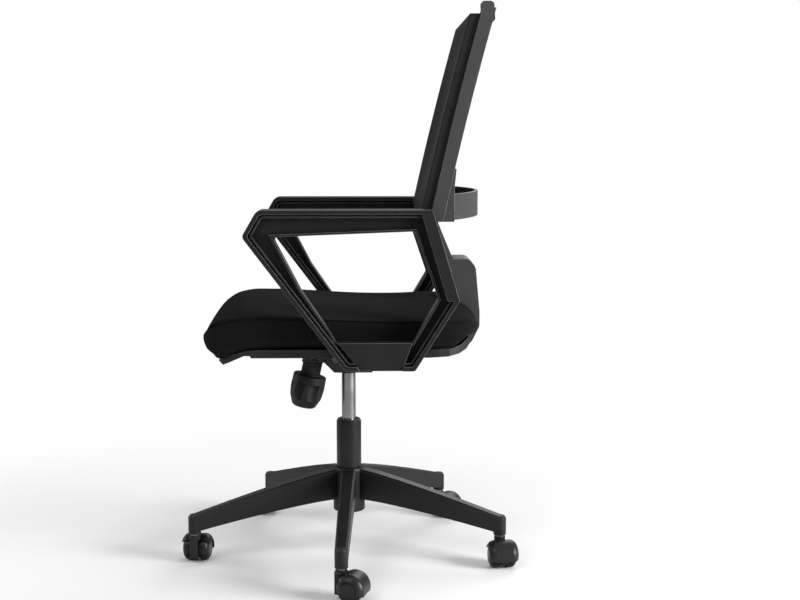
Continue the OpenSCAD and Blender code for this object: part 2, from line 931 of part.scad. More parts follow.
module spring_boot() {
    color([0.07, 0.07, 0.08])
    difference() {
        at_bolt()
            ring(boot_d, boot_d - 2 * boot_wall, -knob_drop, boot_d / 2 - (plate_z - nose_z));
        translate([-boot_d, bolt_y - 2 * boot_d, nose_z])
            cube([2 * boot_d, 3 * boot_d, boot_d]);
    }
}

module tension_knob() {
    r = knob_d / 2;
    color([0.1, 0.1, 0.11])
    at_bolt()
    translate([0, 0, -knob_drop - knob_h])
    difference() {
        rotate_extrude()
            polygon([
                [0, 0], [r * 0.6, 0], [r * 0.72, knob_h * 0.05], [r * 0.94, knob_h * 0.32],
                [r, knob_h * 0.6], [r * 0.98, knob_h - knob_bevel], [r * 0.93, knob_h - run_gap],
                [0, knob_h - run_gap]
            ]);
        for (k = [0:knob_flutes - 1])
            rotate([0, 0, (k + 0.5) * 360 / knob_flutes])
                translate([r + flute_d * 0.42, 0, -cut])
                    rotate([0, -4, 0])
                        cylinder(d = flute_d, h = knob_h * 0.8);
        translate([0, 0, knob_h - bolt_in_knob - 2 * cut])
            cylinder(d = bolt_d + 2 * run_gap, h = bolt_in_knob + 3 * cut);
    }
}

// Height lever

module lever_bush() {
    color([0.2, 0.2, 0.21])
    translate([lever_pin_x, 0, lever_z])
    difference() {
        cube([lever_bush_l, lever_bush_w, lever_bush_w], center = true);
        cube([lever_bush_l + 2 * cut, lever_d + 2 * run_gap, lever_d + 2 * lever_slack], center = true);
        rotate([90, 0, 0])
            cylinder(d = lever_pin_d + 2 * run_gap, h = 2 * lever_bush_w, center = true, $fn = small_fn);
    }
}

module lever_pin() {
    color([0.7, 0.7, 0.72])
    translate([lever_pin_x, 0, lever_z])
        rotate([90, 0, 0])
            cylinder(d = lever_pin_d, h = lever_bush_w, center = true, $fn = small_fn);
}

module lever_rod() {
    path = [
        [lever_inner, 0, lever_z], [-lever_out, 0, lever_z],
        [-lever_low_x, lever_low_y, lever_z - lever_low_drop],
        [grip_l / 2 - lever_l, lever_end_y, lever_z - lever_low_drop - grip_rise]
    ];
    color([0.15, 0.15, 0.16])
    difference() {
        union() {
            for (k = [0:len(path) - 2])
                bar(path[k], path[k + 1], lever_d);
            for (k = [1:len(path) - 2])
                translate(path[k])
                    sphere(d = lever_d);
        }
        translate([lever_pin_x, 0, lever_z])
            rotate([90, 0, 0])
                cylinder(d = lever_pin_d, h = 2 * lever_bush_w, center = true, $fn = small_fn);
    }
}

module lever_grip() {
    z = lever_z - lever_low_drop - grip_rise;
    outline = [
        [-lever_l, -grip_end_w / 2], [grip_l * 0.3 - lever_l, -grip_w / 2], [grip_l - lever_l, -lever_d],
        [grip_l - lever_l, lever_d], [grip_l * 0.3 - lever_l, grip_w / 2], [-lever_l, grip_end_w / 2]
    ];
    color([0.08, 0.08, 0.09])
    difference() {
        translate([0, lever_end_y, z - grip_t / 2])
            linear_extrude(height = grip_t)
                polygon(rounded(outline, grip_round));
        bar(
            [-lever_low_x, lever_low_y, lever_z - lever_low_drop],
            [grip_l / 2 - lever_l, lever_end_y, z], lever_d
        );
    }
}

// Seat

// A place along the seat from a share of its reach
function seat_y(share) = share * (share < 0 ? seat_front : seat_rear);

// A height read from a table of shares at a place along the seat
function seat_curve(table, y) = lookup(y < 0 ? y / seat_front : y / seat_rear, table);

module seat_pan() {
    half = seat_w / 2 - pan_margin;
    front = -seat_front;
    rear = seat_rear;
    color([0.17, 0.17, 0.18])
    difference() {
        intersection() {
            across(concat(
                [for (p = pan_under_shares) [seat_y(p[0]), pan_z + p[1] * pan_t]],
                [for (p = turned(pan_over_shares)) [seat_y(p[0]), pan_z + p[1] * pan_t]]
            ), 2 * half);
            translate([0, 0, pan_z - pan_t * 2])
                linear_extrude(height = pan_t * 6)
                    polygon(rounded([
                        [-half, front * 0.91], [half, front * 0.91],
                        [half, rear * 0.95], [-half, rear * 0.95]
                    ], pan_corner));
        }
        translate([-plate_w / 2 - plate_room, -plate_front - plate_room, pan_z - cut])
            cube([
                plate_w + 2 * plate_room, plate_front + plate_rear + 2 * plate_room,
                plate_sink + sheet_t + cut
            ]);
        translate([0, bolt_y, pan_z])
            cylinder(d = bolt_room, h = pan_t - cut);
        for (x = [-1, 1], y = [-plate_hole_front, plate_hole_rear])
            translate([x * plate_hole_w / 2, y, pan_z])
                cylinder(d = screw_d, h = screw_l - cut + plate_sink);
        arm_screw_places()
            translate([0, 0, -cut])
                cylinder(d = arm_screw_d, h = pan_t);
        bracket_screw_places()
            translate([0, 0, -cut])
                cylinder(d = bracket_screw_d, h = pan_t);
    }
}

// A ring of the cushion: grow is its share of the plan, fall its way down to the ridge and
// tuck its way on to the underside
function cushion_ring(grow, fall, tuck) = [
    for (i = [0:cushion_sides - 1])
        let (
            a = 360 * i / cushion_sides,
            c = cos(a),
            s = sin(a),
            x = sign(c) * pow(abs(c), 2 / plan_power) * grow,
            t = sign(s) * pow(abs(s), 2 / plan_power) * grow,
            ridge = lookup(t, cushion_ridge_shares),
            under = lookup(t, cushion_under_shares),
            rise = (lookup(t, cushion_top_shares) - ridge) * (1 - x * x) + cushion_shoulder_share,
            z = ridge + rise * (1 - fall) + (under - ridge) * tuck,
            swell = sin(180 * tuck) * pow(abs(t), 4) * cushion_swell_shares[t < 0 ? 0 : 1]
        )
        [x * seat_w / 2, seat_y(t * (1 + swell)), cushion_z + z * cushion_h]
];

module seat_cushion() {
    color([0.06, 0.06, 0.07])
    loft([for (r = cushion_rings) turned(cushion_ring(r[0], r[1], r[2]))]);
}

// Arms

function arm_place(shares) = [for (p = shares) [arm_y + p[0] * arm_l, arm_z + p[1] * arm_h]];

// Places of the screws under the feet of both arms, on the underside of the pan
module arm_screw_places() {
    for (side = [-1, 1], p = arm_screw_shares)
        translate([
            side * (arm_in - foot_reach + foot_reach * p[0] + foot_rib),
            foot_y + foot_l * p[1], pan_z
        ])
            children();
}

// The left arm: a closed loop with a rim, a thin web set back from both faces, a rib inside
// the rim, a plain panel between its legs, and a ribbed foot that turns in under the seat
module arm_shape() {
    outline = arm_place(arm_outline_shares);
    window = arm_place(arm_window_shares);
    panel = arm_place(arm_panel_shares);
    round = arm_round_shares * arm_w;
    mid = arm_in + arm_w / 2;
    difference() {
        union() {
            difference() {
                across(rounded(outline, round), arm_w, mid);
                across(rounded(inset(outline, arm_rim), round * 0.7), arm_w + 2 * cut, mid);
            }
            difference() {
                across(
                    rounded(inset(outline, arm_rim + arm_rib_gap), round * 0.6),
                    arm_w - 2 * arm_rib_inset, mid
                );
                across(
                    rounded(inset(outline, arm_rim + arm_rib_gap + arm_rib), round * 0.5),
                    arm_w + 2 * cut, mid
                );
            }
            across(inset(outline, arm_rim / 2), arm_web, mid);
            across(inset(window, -window_rim), window_rim_w, mid);
            intersection() {
                across(rounded(outline, round), arm_w, mid);
                across(
                    [
                        outline[2], outline[3], outline[3] - [arm_band, 0],
                        outline[2] - [arm_band, 0]
                    ],
                    arm_w, mid
                );
            }
            across(panel, arm_w / 2, mid + arm_w / 4);
            translate([arm_in - foot_reach, foot_y, pan_z - foot_plate])
                cube([foot_reach + arm_w / 2, foot_l, foot_plate]);
            for (k = [0:foot_ribs - 1])
                translate([
                    arm_in - foot_reach * 0.8, foot_y + (foot_l - foot_rib) * k / (foot_ribs - 1), arm_z
                ])
                    cube([foot_reach * 0.8 + arm_w / 2, foot_rib, arm_foot_h]);
        }
        across(rounded(window, window_round), arm_w + 2 * cut, mid);
        across(inset(panel, -cut), arm_rib_inset + cut, mid + arm_w / 2 - (arm_rib_inset - cut) / 2);
    }
}

module arm_left() {
    color([0.12, 0.12, 0.13])
    difference() {
        arm_shape();
        arm_screw_places()
            translate([0, 0, -arm_foot_h - cut])
                cylinder(d = arm_screw_d, h = arm_foot_h + 2 * cut);
    }
}

module arm_right() {
    color([0.12, 0.12, 0.13])
    difference() {
        mirror([1, 0, 0])
            arm_shape();
        arm_screw_places()
            translate([0, 0, -arm_foot_h - cut])
                cylinder(d = arm_screw_d, h = arm_foot_h + 2 * cut);
    }
}

module arm_screws() {
    color([0.5, 0.5, 0.52])
    arm_screw_places()
        translate([0, 0, -foot_plate])
            screw(arm_screw_d, arm_screw_head_d, foot_plate + pan_t - 2 * cut);
}

// Back

// Outline of a strip along the back: from d0 to d1 behind the rails' front face
function back_strip(d0, d1, t0, t1) = concat(
    [for (k = [0:back_steps]) back_line(t0 + (t1 - t0) * k / back_steps) + [d0, 0]],
    [for (k = [back_steps:-1:0]) back_line(t0 + (t1 - t0) * k / back_steps) + [d1, 0]]
);

// The spine's centre line, down and back from the lower bar into the bracket
function spine_path() = [
    back_line(0) + [bar_d * 0.5, bar_h * 0.5],
    back_line(0) + [bar_d * 0.7, -bar_h * 0.2],
    back_line(0) + [spine_t * 2.2, -spine_end * 0.34],
    back_line(0) + [spine_t * 3.5, -spine_end * 0.68],
    back_line(0) + [spine_t * 3.7, -spine_end]
];

// The spine's outline from the side, grown by a gap
function spine_strip(gap) = let (path = spine_path(), last = len(path) - 1) concat(
    [for (i = [0:last]) path[i] + [spine_t / 2 + gap, i == last ? -gap : 0]],
    [for (i = [last:-1:0]) path[i] - [spine_t / 2 + gap, i == last ? gap : 0]]
);

module back_frame() {
    half = back_w / 2;
    head_h = back_h * head_h_share;
    head_z = back_top - head_h;
    middle = half - head_end_w - head_end_run;
    head_y = back_line(head_share)[0];
    color([0.14, 0.14, 0.15])
    difference() {
        union() {
            for (side = [-1, 1])
                across(back_strip(0, rail_d, 0, 0.97), rail_w, side * (half - rail_w / 2));
            intersection() {
                across(
                    rounded([
                        for (p = head_shares)
                            [head_y + rail_d / 2 + p[0] * head_d, head_z + p[1] * head_h]
                    ], head_d / 8),
                    back_w
                );
                lengthwise([
                    [-half - cut, head_z - cut], [half + cut, head_z - cut],
                    [half + cut, back_top + cut], [half - head_end_w, back_top + cut],
                    [middle, back_top - head_drop_share * head_h],
                    [-middle, back_top - head_drop_share * head_h],
                    [head_end_w - half, back_top + cut], [-half - cut, back_top + cut]
                ], 4 * head_d, head_y - 2 * head_d);
            }
            across(
                rounded([
                    back_line(0) + [0, 0], back_line(0) + [bar_d, 0],
                    back_line(0) + [bar_d * 1.09, bar_h], back_line(0) + [bar_d / 3, bar_h]
                ], bar_round),
                back_w - rail_w
            );
            across(spine_strip(0), spine_w);
        }
        lumbar_screw_places()
            translate([0, 0, -cut])
                cylinder(d = band_screw_d, h = band_screw_l + cut, $fn = small_fn);
        spine_screw_places()
            cylinder(d = bracket_screw_d, h = spine_screw_l, $fn = small_fn);
    }
}

module mesh_carrier() {
    half = back_w / 2 - rail_w / 3;
    top = back_line(carrier_top_share);
    low = back_line(carrier_low_share);
    color([0.06, 0.06, 0.07])
    union() {
        for (side = [-1, 1])
            across(
                back_strip(-carrier_d, 0, carrier_low_share, carrier_top_share), carrier_w,
                side * (half - carrier_w / 2)
            );
        across([
            low - [carrier_d, 0], low, low + [carrier_bar_h * back_lean, carrier_bar_h],
            low + [carrier_bar_h * back_lean - carrier_d, carrier_bar_h]
        ], 2 * half - carrier_w);
        across([
            top - [carrier_bar_h * back_lean + carrier_d, carrier_bar_h],
            top - [carrier_bar_h * back_lean, carrier_bar_h], top, top - [carrier_d, 0]
        ], 2 * half - carrier_w);
    }
}

// The mesh, a thin sheet stretched over the front of the carrier
module back_mesh() {
    color([0.05, 0.05, 0.06])
    across(
        back_strip(-carrier_d - mesh_t, -carrier_d, carrier_low_share, carrier_top_share),
        back_w - 2 * rail_w / 3
    );
}

band_z = back_z + band_rise;
band_y = back_line(0)[0] + rail_d + ear_t;

// Places of the screws that hold the lumbar band, local Z forwards into the rail
module lumbar_screw_places() {
    for (side = [-1, 1], t = [0.16, 0.6])
        translate([
            side * (back_w / 2 - rail_w / 2),
            band_y - band_t, back_z + ear_l * t
        ])
            rotate([90, 0, 0])
                children();
}

// Band that arcs behind the mesh from rail to rail, with an ear up each rail
module lumbar_band() {
    half = back_w / 2;
    chord = half - rail_w / 2;
    r = (chord * chord + band_bulge * band_bulge) / (2 * band_bulge);
    a = asin(chord / r);
    centre = [0, band_y + band_bulge - r];
    color([0.13, 0.13, 0.14])
    difference() {
        union() {
            translate([0, 0, band_z])
                linear_extrude(height = band_h)
                    polygon(concat(
                        arc_points(centre, r, 90 - a, 90 + a, band_steps),
                        arc_points(centre, r - band_t, 90 + a, 90 - a, band_steps)
                    ));
            for (side = [-1, 1])
                across([
                    back_line(0) + [rail_d, 0], [band_y, back_z],
                    [band_y, back_z + ear_l * 0.62],
                    back_line(ear_l / back_h) + [rail_d + ear_end_t, 0],
                    back_line(ear_l / back_h) + [rail_d, 0],
                    back_line(ear_l / back_h / 2) + [rail_d, 0]
                ], rail_w, side * (half - rail_w / 2));
        }
        lumbar_screw_places()
            translate([0, 0, -2 * ear_t])
                cylinder(d = band_screw_d, h = 4 * ear_t, $fn = small_fn);
        lumbar_screw_places()
            translate([0, 0, -2 * ear_t])
                cylinder(d = band_screw_head_d + cut, h = 2 * ear_t, $fn = small_fn);
    }
}

module lumbar_screws() {
    color([0.5, 0.5, 0.52])
    lumbar_screw_places() {
        cylinder(d = band_screw_d, h = band_screw_l, $fn = small_fn);
        translate([0, 0, -screw_head_h])
            cylinder(d = band_screw_head_d, h = screw_head_h, $fn = small_fn);
    }
}

// Bracket behind and under the seat

// Places of the screws under the bracket's foot, on the underside of the pan
module bracket_screw_places() {
    for (x = [-1, 1], y = [0.25, 0.8])
        translate([
            x * bracket_w * 0.3,
            bracket_foot_front + (seat_rear * 0.62 - bracket_foot_front) * y, pan_z
        ])
            children();
}

// Places of the screws that join the spine to the bracket, local Z forwards from behind
module spine_screw_places() {
    for (side = [-1, 1])
        translate([
            side * spine_w * 0.25, seat_rear + bracket_clear - screw_head_h,
            pan_z + bracket_top_rise - spine_screw_drop
        ])
            rotate([90, 0, 0])
                children();
}

module back_bracket() {
    top = pan_z + bracket_top_rise;
    rear = seat_rear * (1 + cushion_swell_shares[1]) + bracket_clear;
    foot = pan_z - bracket_foot_t;
    outline = concat(
        [[bracket_foot_front, foot]], moved(bracket_low_places, [rear, foot]),
        moved(bracket_high_places, [rear, top]), moved(bracket_pan_places, [rear, pan_z]),
        [[bracket_foot_front, pan_z]]
    );
    color([0.13, 0.13, 0.14])
    difference() {
        across(rounded(outline, bracket_rounds), bracket_w);
        across(spine_strip(pocket_gap), spine_w + 2 * pocket_gap);
        across(moved(bracket_hollow_places, [rear, top]), bracket_w - 2 * bracket_wall);
        bracket_screw_places()
            translate([0, 0, -bracket_foot_t - cut])
                cylinder(d = bracket_screw_d, h = bracket_foot_t + 2 * cut);
        spine_screw_places() {
            cylinder(d = bracket_screw_d, h = spine_screw_l, $fn = small_fn);
            translate([0, 0, -bracket_w / 2])
                cylinder(d = bracket_screw_head_d + 2 * run_gap, h = bracket_w / 2);
        }
    }
}

module bracket_screws() {
    color([0.5, 0.5, 0.52]) {
        bracket_screw_places()
            translate([0, 0, -bracket_foot_t])
                screw(bracket_screw_d, bracket_screw_head_d, bracket_foot_t + pan_t - 2 * cut);
        spine_screw_places()
            screw(bracket_screw_d, bracket_screw_head_d, spine_screw_l - cut);
    }
}

star_base();
gas_column();
column_bush();
thrust_bearing();
for (i = [0:caster_count - 1]) {
    caster_hood(i);
    caster_stem(i);
    caster_axle(i);
    caster_wheel(i, -1);
    caster_wheel(i, 1);
}
piston_rod();
rod_clip();
pressure_tube();
taper_cup();
tilt_housing();
valve_pin();
lever_bush();
lever_pin();
lever_rod();
lever_grip();
seat_plate();
plate_screws();
tilt_shaft();
tension_bolt();
tension_spring();
spring_boot();
tension_knob();
seat_pan();
seat_cushion();
arm_left();
arm_right();
arm_screws();
back_bracket();
bracket_screws();
back_frame();
mesh_carrier();
back_mesh();
lumbar_band();
lumbar_screws();
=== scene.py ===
"""Dresses a packed task chair: the upholstered seat, the woven back, the tension spring and its
rubber boot, a finish for every solid, and the floor, lamps and camera it is seen with."""

import json
import math

import bmesh
import bpy
import numpy as np
from mathutils import Matrix, Vector


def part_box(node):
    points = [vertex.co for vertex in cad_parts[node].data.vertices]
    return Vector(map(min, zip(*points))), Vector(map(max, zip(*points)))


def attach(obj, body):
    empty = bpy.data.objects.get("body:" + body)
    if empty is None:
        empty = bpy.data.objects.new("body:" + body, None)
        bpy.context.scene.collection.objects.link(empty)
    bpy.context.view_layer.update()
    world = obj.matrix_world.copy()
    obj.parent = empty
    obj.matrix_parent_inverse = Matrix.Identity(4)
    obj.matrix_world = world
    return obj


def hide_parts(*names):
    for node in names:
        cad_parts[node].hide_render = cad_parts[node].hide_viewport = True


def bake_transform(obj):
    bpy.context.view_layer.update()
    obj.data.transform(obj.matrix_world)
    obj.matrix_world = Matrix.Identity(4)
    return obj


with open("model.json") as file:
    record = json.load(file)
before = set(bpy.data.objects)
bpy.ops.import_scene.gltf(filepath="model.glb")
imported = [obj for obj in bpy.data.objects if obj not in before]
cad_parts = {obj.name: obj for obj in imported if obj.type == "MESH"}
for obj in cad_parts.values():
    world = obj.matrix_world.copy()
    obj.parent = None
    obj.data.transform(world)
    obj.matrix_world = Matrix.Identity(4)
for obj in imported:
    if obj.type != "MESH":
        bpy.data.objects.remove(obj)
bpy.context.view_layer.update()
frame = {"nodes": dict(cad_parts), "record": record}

bl_info = {
    "name": "Task Chair Dressing",
    "version": (1, 0, 0),
    "blender": (4, 5, 0),
    "location": "3D View > Sidebar > Task Chair",
    "description": "Upholsters, weaves and finishes a task chair round its solids",
    "category": "Object",
}

# The seat: half its width, its reach to the front and rear, its foot and its height, in metres
SEAT_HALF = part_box("seat_cushion")[1].x
SEAT_FRONT, SEAT_REAR = 0.268, 0.246
CUSHION_Z, CUSHION_H = 0.447, 0.109

# Top, ridge and underside of the seat along its length, as shares of its reach and height
SEAT_TOP = [
    (-1, 0.26), (-0.96, 0.48), (-0.88, 0.66), (-0.77, 0.73), (-0.63, 0.72), (-0.3, 0.66),
    (0, 0.62), (0.4, 0.64), (0.7, 0.69), (0.85, 0.67), (0.94, 0.63), (1, 0.55),
]
SEAT_RIDGE = [
    (-1, 0.2), (-0.97, 0.33), (-0.93, 0.42), (-0.8, 0.54), (-0.58, 0.58), (-0.32, 0.555),
    (0, 0.51), (0.5, 0.49), (0.85, 0.49), (0.94, 0.49), (1, 0.48),
]
SEAT_UNDER = [
    (-1, 0.14), (-0.97, -0.06), (-0.93, -0.15), (-0.865, -0.165), (-0.79, -0.08),
    (-0.715, -0.023), (-0.63, 0), (0.62, 0), (0.79, 0.014), (0.87, 0.073), (0.925, 0.17),
    (0.955, 0.18), (1, 0.17),
]

# Rounding of the top and of the plan, and spacing of the rings down the side, as powers
TOP_ROUND, PLAN_POWER, SIDE_SPACING = 0.4, 9.0, 1.25

# The rise beside the ridge as a share of the height, the swell of the ends and the draw of the
# rear as shares of the reach, and the share of that draw which the top takes
SHOULDER = 0.012
FRONT_SWELL, REAR_SWELL, REAR_ROUND = 0.034, 0.034, 0.054
TOP_DRAW = 0.6

# The side panel: place and width of the seam's dip and start of the tuck as shares of the way
# down, and depth of the waist and of the tuck in metres
SEAM_AT, SEAM_WIDE, TUCK_FROM = 0.07, 0.04, 0.78
WAIST, TUCK = 0.0022, 0.011

# Settings of the cloth that the seat's padding presses out, the steps it is given, the rings over
# which it comes free beside the ridge, and the rings at its foot that are held and eased
CLOTH = {
    "vertex_group_mass": "held", "quality": 4, "use_pressure": True,
    "uniform_pressure_force": 2.5, "tension_stiffness": 30, "compression_stiffness": 30,
    "shear_stiffness": 10, "bending_stiffness": 1.5,
}
CLOTH_STEPS = 14
FREE_RINGS, HELD_RINGS, EASED_RINGS = 12, 12, 8

# The back: the foot, height, lean and bow of its line, the carrier's depth and the width of its
# bars, how far the weave lies in front of it, and the length of its curve over its height, as
# cloth and as rows of threads
MESH_LOW, MESH_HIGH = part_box("back_mesh")
BACK_LINE = (0.1525, 0.684, 0.4, 0.215, 0.032)
CARRIER_D, CARRIER_BAR, WEAVE_GAP = 0.0175, 0.02, 0.001
CLOTH_RUN, ROWS_RUN = 1.025, 1.03

# Thickness of a thread as a share of its width, and how far it is lifted as a share of its
# thickness
THREAD_THICK, THREAD_LIFT = 0.15, 0.55

# The tension bolt's place and lean, the underside of the housing's nose, the knob's top on the
# bolt's own axis, and how much of the spring and boot the knob grips, in metres
BOLT_Y, BOLT_Z, BOLT_LEAN = -0.062, 0.433, math.radians(12.4)
NOSE_Z, KNOB_TOP, KNOB_GRIP = 0.392, -0.0727, 0.003

# The spring's turns, and its radius, wire and ends over the knob's top in metres
COIL_TURNS, COIL_R, WIRE_D = 5, 0.013, 0.004
COIL_ENDS = (0.002, 0.0247)

# The boot's radius, wall, gap under the nose and depth of its folds in metres, and its lips'
# depth in metres and their width as a share of its length
BOOT_R, BOOT_WALL, BOOT_GAP, FOLD_DEPTH = 0.0196, 0.0017, 0.0003, 0.0002
LIP_DEPTH, LIP_SHARE = 0.0008, 0.03

# Colours that more than one finish has, and how light the others are as shares of the plastic's
# and of the mesh's colour
SPRING_GREY = (0.28, 0.28, 0.29)
RUBBER_BLACK = (0.016, 0.016, 0.017)
PALE, MILD, DEEP, CARRIER_PALE = 3.8, 1.5, 0.65, 6.5

# Of a finish: the share of its shine left in a recess, as painted shade, the most that an open
# edge is lightened by its painted highlight, how far its roughness varies either way, how dark
# cloth is painted between its threads as shade, and the part of a thread's lift in the weave's
# height
RECESS_SHADE_SHINE, MOST_EDGE_HIGHLIGHT, ROUGH_VARIES = 0.15, 0.7, 0.06
GAP_SHADE, WEAVE_LIFT = 0.35, 0.35

# The floor: half its side in metres, its points each way, where it fades to white, how dark its
# specks are, and its glow where the camera doesn't see it
FLOOR_HALF, FLOOR_POINTS = 9, 48
FADE_FROM, FADE_TO, SPECK_DARK, FLOOR_DIM = 0.45, 1.4, 0.985, 0.25

# Strength of the world as light, and the part of its way to white that it takes in reflections
WORLD_DIM, WORLD_GLOSS = 0.3, 0.1

# Name, place, aim, size and power of each lamp
LAMPS = [
    ("key", (2.2, -1.6, 3.0), (0, 0, 0.5), 1.8, 36),
    ("side", (1.5, 3.0, 1.2), (0, 0.1, 0.6), 1.5, 170),
    ("top", (0, 0.2, 3.4), (0, 0, 0.4), 2.4, 10),
    ("rear", (-2.6, 1.2, 2.2), (0, 0, 0.6), 1.8, 34),
    ("front", (-0.6, -3.0, 1.4), (0, 0, 0.5), 1.6, 22),
]

# Place of the camera in metres, its yaw and pitch in radians, and its sensor and lens in mm
CAMERA_PLACE = (2.8180, 0.0343, 0.8469)
CAMERA_YAW, CAMERA_PITCH = 0.02464, 0.11789
CAMERA_SENSOR, CAMERA_LENS = 36, 63.548


class ChairSizes(bpy.types.PropertyGroup):
    """Sizes of the pieces that are made here."""
    thread_pitch: bpy.props.FloatProperty(
        name="Thread pitch", description="Distance between the threads of the back's mesh",
        default=0.0037, min=0.003, max=0.008, unit="LENGTH", precision=4)
    thread_width: bpy.props.FloatProperty(
        name="Thread width", description="Width of one flat thread of the back's mesh",
        default=0.0024, min=0.0005, max=0.004, unit="LENGTH", precision=4)
    mesh_dish: bpy.props.FloatProperty(
        name="Mesh dish", description="How far the middle of the mesh lies behind its sides",
        default=0.005, min=0, max=0.01, unit="LENGTH", precision=4)
    seam_depth: bpy.props.FloatProperty(
        name="Seam depth", description="Depth of the groove under the ridge of the seat",
        default=0.0035, min=0, max=0.008, unit="LENGTH", precision=4)
    swell: bpy.props.FloatProperty(
        name="Swell", description="Most that the seat's cloth moves when its padding presses on it",
        default=0.003, min=0, max=0.015, unit="LENGTH", precision=4)
    boot_folds: bpy.props.IntProperty(
        name="Boot folds", description="Folds of the rubber boot over the tension spring",
        default=5, min=1, max=9)


class ChairColours(bpy.types.PropertyGroup):
    """Colours of the chair and of what it stands on."""
    plastic: bpy.props.FloatVectorProperty(
        name="Plastic", description="Colour of the moulded parts", subtype="COLOR",
        size=3, default=(0.011, 0.011, 0.0115), min=0, max=1)
    cloth: bpy.props.FloatVectorProperty(
        name="Seat cloth", description="Colour of the seat's cloth", subtype="COLOR",
        size=3, default=(0.0104, 0.0099, 0.0095), min=0, max=1)
    mesh: bpy.props.FloatVectorProperty(
        name="Back mesh", description="Colour of the back's threads", subtype="COLOR",
        size=3, default=(0.0040, 0.0037, 0.0033), min=0, max=1)
    steel: bpy.props.FloatVectorProperty(
        name="Steel", description="Colour of the bare steel", subtype="COLOR",
        size=3, default=(0.17, 0.17, 0.175), min=0, max=1)
    floor: bpy.props.FloatVectorProperty(
        name="Floor", description="Colour of the floor", subtype="COLOR",
        size=3, default=(0.92, 0.92, 0.92), min=0, max=1)


# Surfaces

def smooth(table, x):
    """A smooth line through a table of points, level past its ends: cubic Hermite pieces whose
    slopes at the points are the weighted means of the chords beside them."""
    knots, values = np.array(table, float).T
    slopes = np.gradient(values, knots)
    i = np.clip(np.searchsorted(knots, x) - 1, 0, len(knots) - 2)
    h = knots[i + 1] - knots[i]
    u = np.clip((x - knots[i]) / h, 0, 1)
    return ((2 * u**3 - 3 * u**2 + 1) * values[i] + (u**3 - 2 * u**2 + u) * h * slopes[i]
            + (3 * u**2 - 2 * u**3) * values[i + 1] + (u**3 - u**2) * h * slopes[i + 1])


def grid_quads(rows, columns, wrap_rows=False, wrap_columns=False):
    """Corners of the quads of a grid of points numbered row by row, wrapped where it closes."""
    r = np.arange(rows if wrap_rows else rows - 1)[:, None]
    c = np.arange(columns if wrap_columns else columns - 1)[None, :]
    r2, c2 = (r + 1) % rows, (c + 1) % columns
    return np.stack([r * columns + c, r * columns + c2, r2 * columns + c2, r2 * columns + c],
                    -1).reshape(-1, 4)


def piece(name, points, quads, uvs=None, soft=True):
    """An object at the origin with these points and quads, smooth shaded if soft, and its map."""
    mesh = bpy.data.meshes.new(name)
    mesh.vertices.add(len(points))
    mesh.vertices.foreach_set("co", np.asarray(points, np.float32).ravel())
    mesh.loops.add(quads.size)
    mesh.loops.foreach_set("vertex_index", quads.astype(np.int32).ravel())
    mesh.polygons.add(len(quads))
    mesh.polygons.foreach_set("loop_start", np.arange(0, quads.size, 4, dtype=np.int32))
    mesh.update(calc_edges=True)
    mesh.validate()
    mesh.polygons.foreach_set("use_smooth", np.full(len(mesh.polygons), soft))
    if uvs is not None:
        layer = mesh.uv_layers.new(name="Cloth")
        layer.uv.foreach_set("vector", np.asarray(uvs, np.float32).ravel())
    obj = bpy.data.objects.new(name, mesh)
    bpy.context.scene.collection.objects.link(obj)
    return obj


def wear(obj, material, body=None):
    """Gives a finished piece its material and, where it rides on a single body, that body."""
    obj.data.materials.clear()
    obj.data.materials.append(material)
    if body:
        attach(obj, body)


# Shader groups and materials

def put(tree, kind, inputs=(), **settings):
    """A new node with its settings, and each named or numbered input set or linked."""
    node = tree.nodes.new(kind)
    for key, value in settings.items():
        setattr(node, key, value)
    for key, value in dict(inputs).items():
        if isinstance(value, bpy.types.NodeSocket):
            tree.links.new(value, node.inputs[key])
        else:
            node.inputs[key].default_value = value
    return node


def maths(tree, operation, *values):
    """The result of one Math node."""
    return put(tree, "ShaderNodeMath", dict(enumerate(values)), operation=operation).outputs[0]


def effect(name, inputs, outputs):
    """A new shader node group with these float or vector inputs and float outputs, and the
    sockets inside it that give the inputs and take the outputs."""
    group = bpy.data.node_groups.new(name, "ShaderNodeTree")
    for socket, value in inputs.items():
        kind = "NodeSocketVector" if value is None else "NodeSocketFloat"
        made = group.interface.new_socket(socket, in_out="INPUT", socket_type=kind)
        if value is not None:
            made.default_value = value
    for socket in outputs:
        group.interface.new_socket(socket, in_out="OUTPUT", socket_type="NodeSocketFloat")
    given, out = group.nodes.new("NodeGroupInput"), group.nodes.new("NodeGroupOutput")
    return group, given.outputs, out.inputs


def grain_effect():
    """Moulded grain: fine pits on a slow unevenness. Height is the pits and half the unevenness,
    and Shade the unevenness."""
    group, given, out = effect("Moulded Grain", {"Vector": None, "Size": 0.001},
                               ["Height", "Shade"])
    place, scale = given["Vector"], maths(group, "DIVIDE", 1, given["Size"])
    fine = put(group, "ShaderNodeTexNoise", {"Vector": place, "Scale": scale, "Detail": 2})
    slow = put(group, "ShaderNodeTexNoise", {"Vector": place, "Scale": 14, "Detail": 3})
    height = maths(group, "MULTIPLY_ADD", slow.outputs[0], 0.5, fine.outputs[0])
    group.links.new(height, out["Height"])
    group.links.new(slow.outputs[0], out["Shade"])
    return group


def edge_highlight_effect():
    """Edges for a painted highlight: how far the normal of a slightly rounded edge turns from
    the face's own.
    """
    group, given, out = effect("Painted Edge Highlight", {"Radius": 0.001}, ["Mask"])
    round_edge = put(group, "ShaderNodeBevel", {"Radius": given["Radius"]}, samples=6)
    flat = put(group, "ShaderNodeNewGeometry")
    turn = put(group, "ShaderNodeVectorMath",
               {0: round_edge.outputs[0], 1: flat.outputs["True Normal"]}, operation="DOT_PRODUCT")
    mask = put(group, "ShaderNodeMapRange",
               {"Value": turn.outputs["Value"], "From Min": 0.995, "From Max": 0.85})
    group.links.new(mask.outputs[0], out["Mask"])
    return group


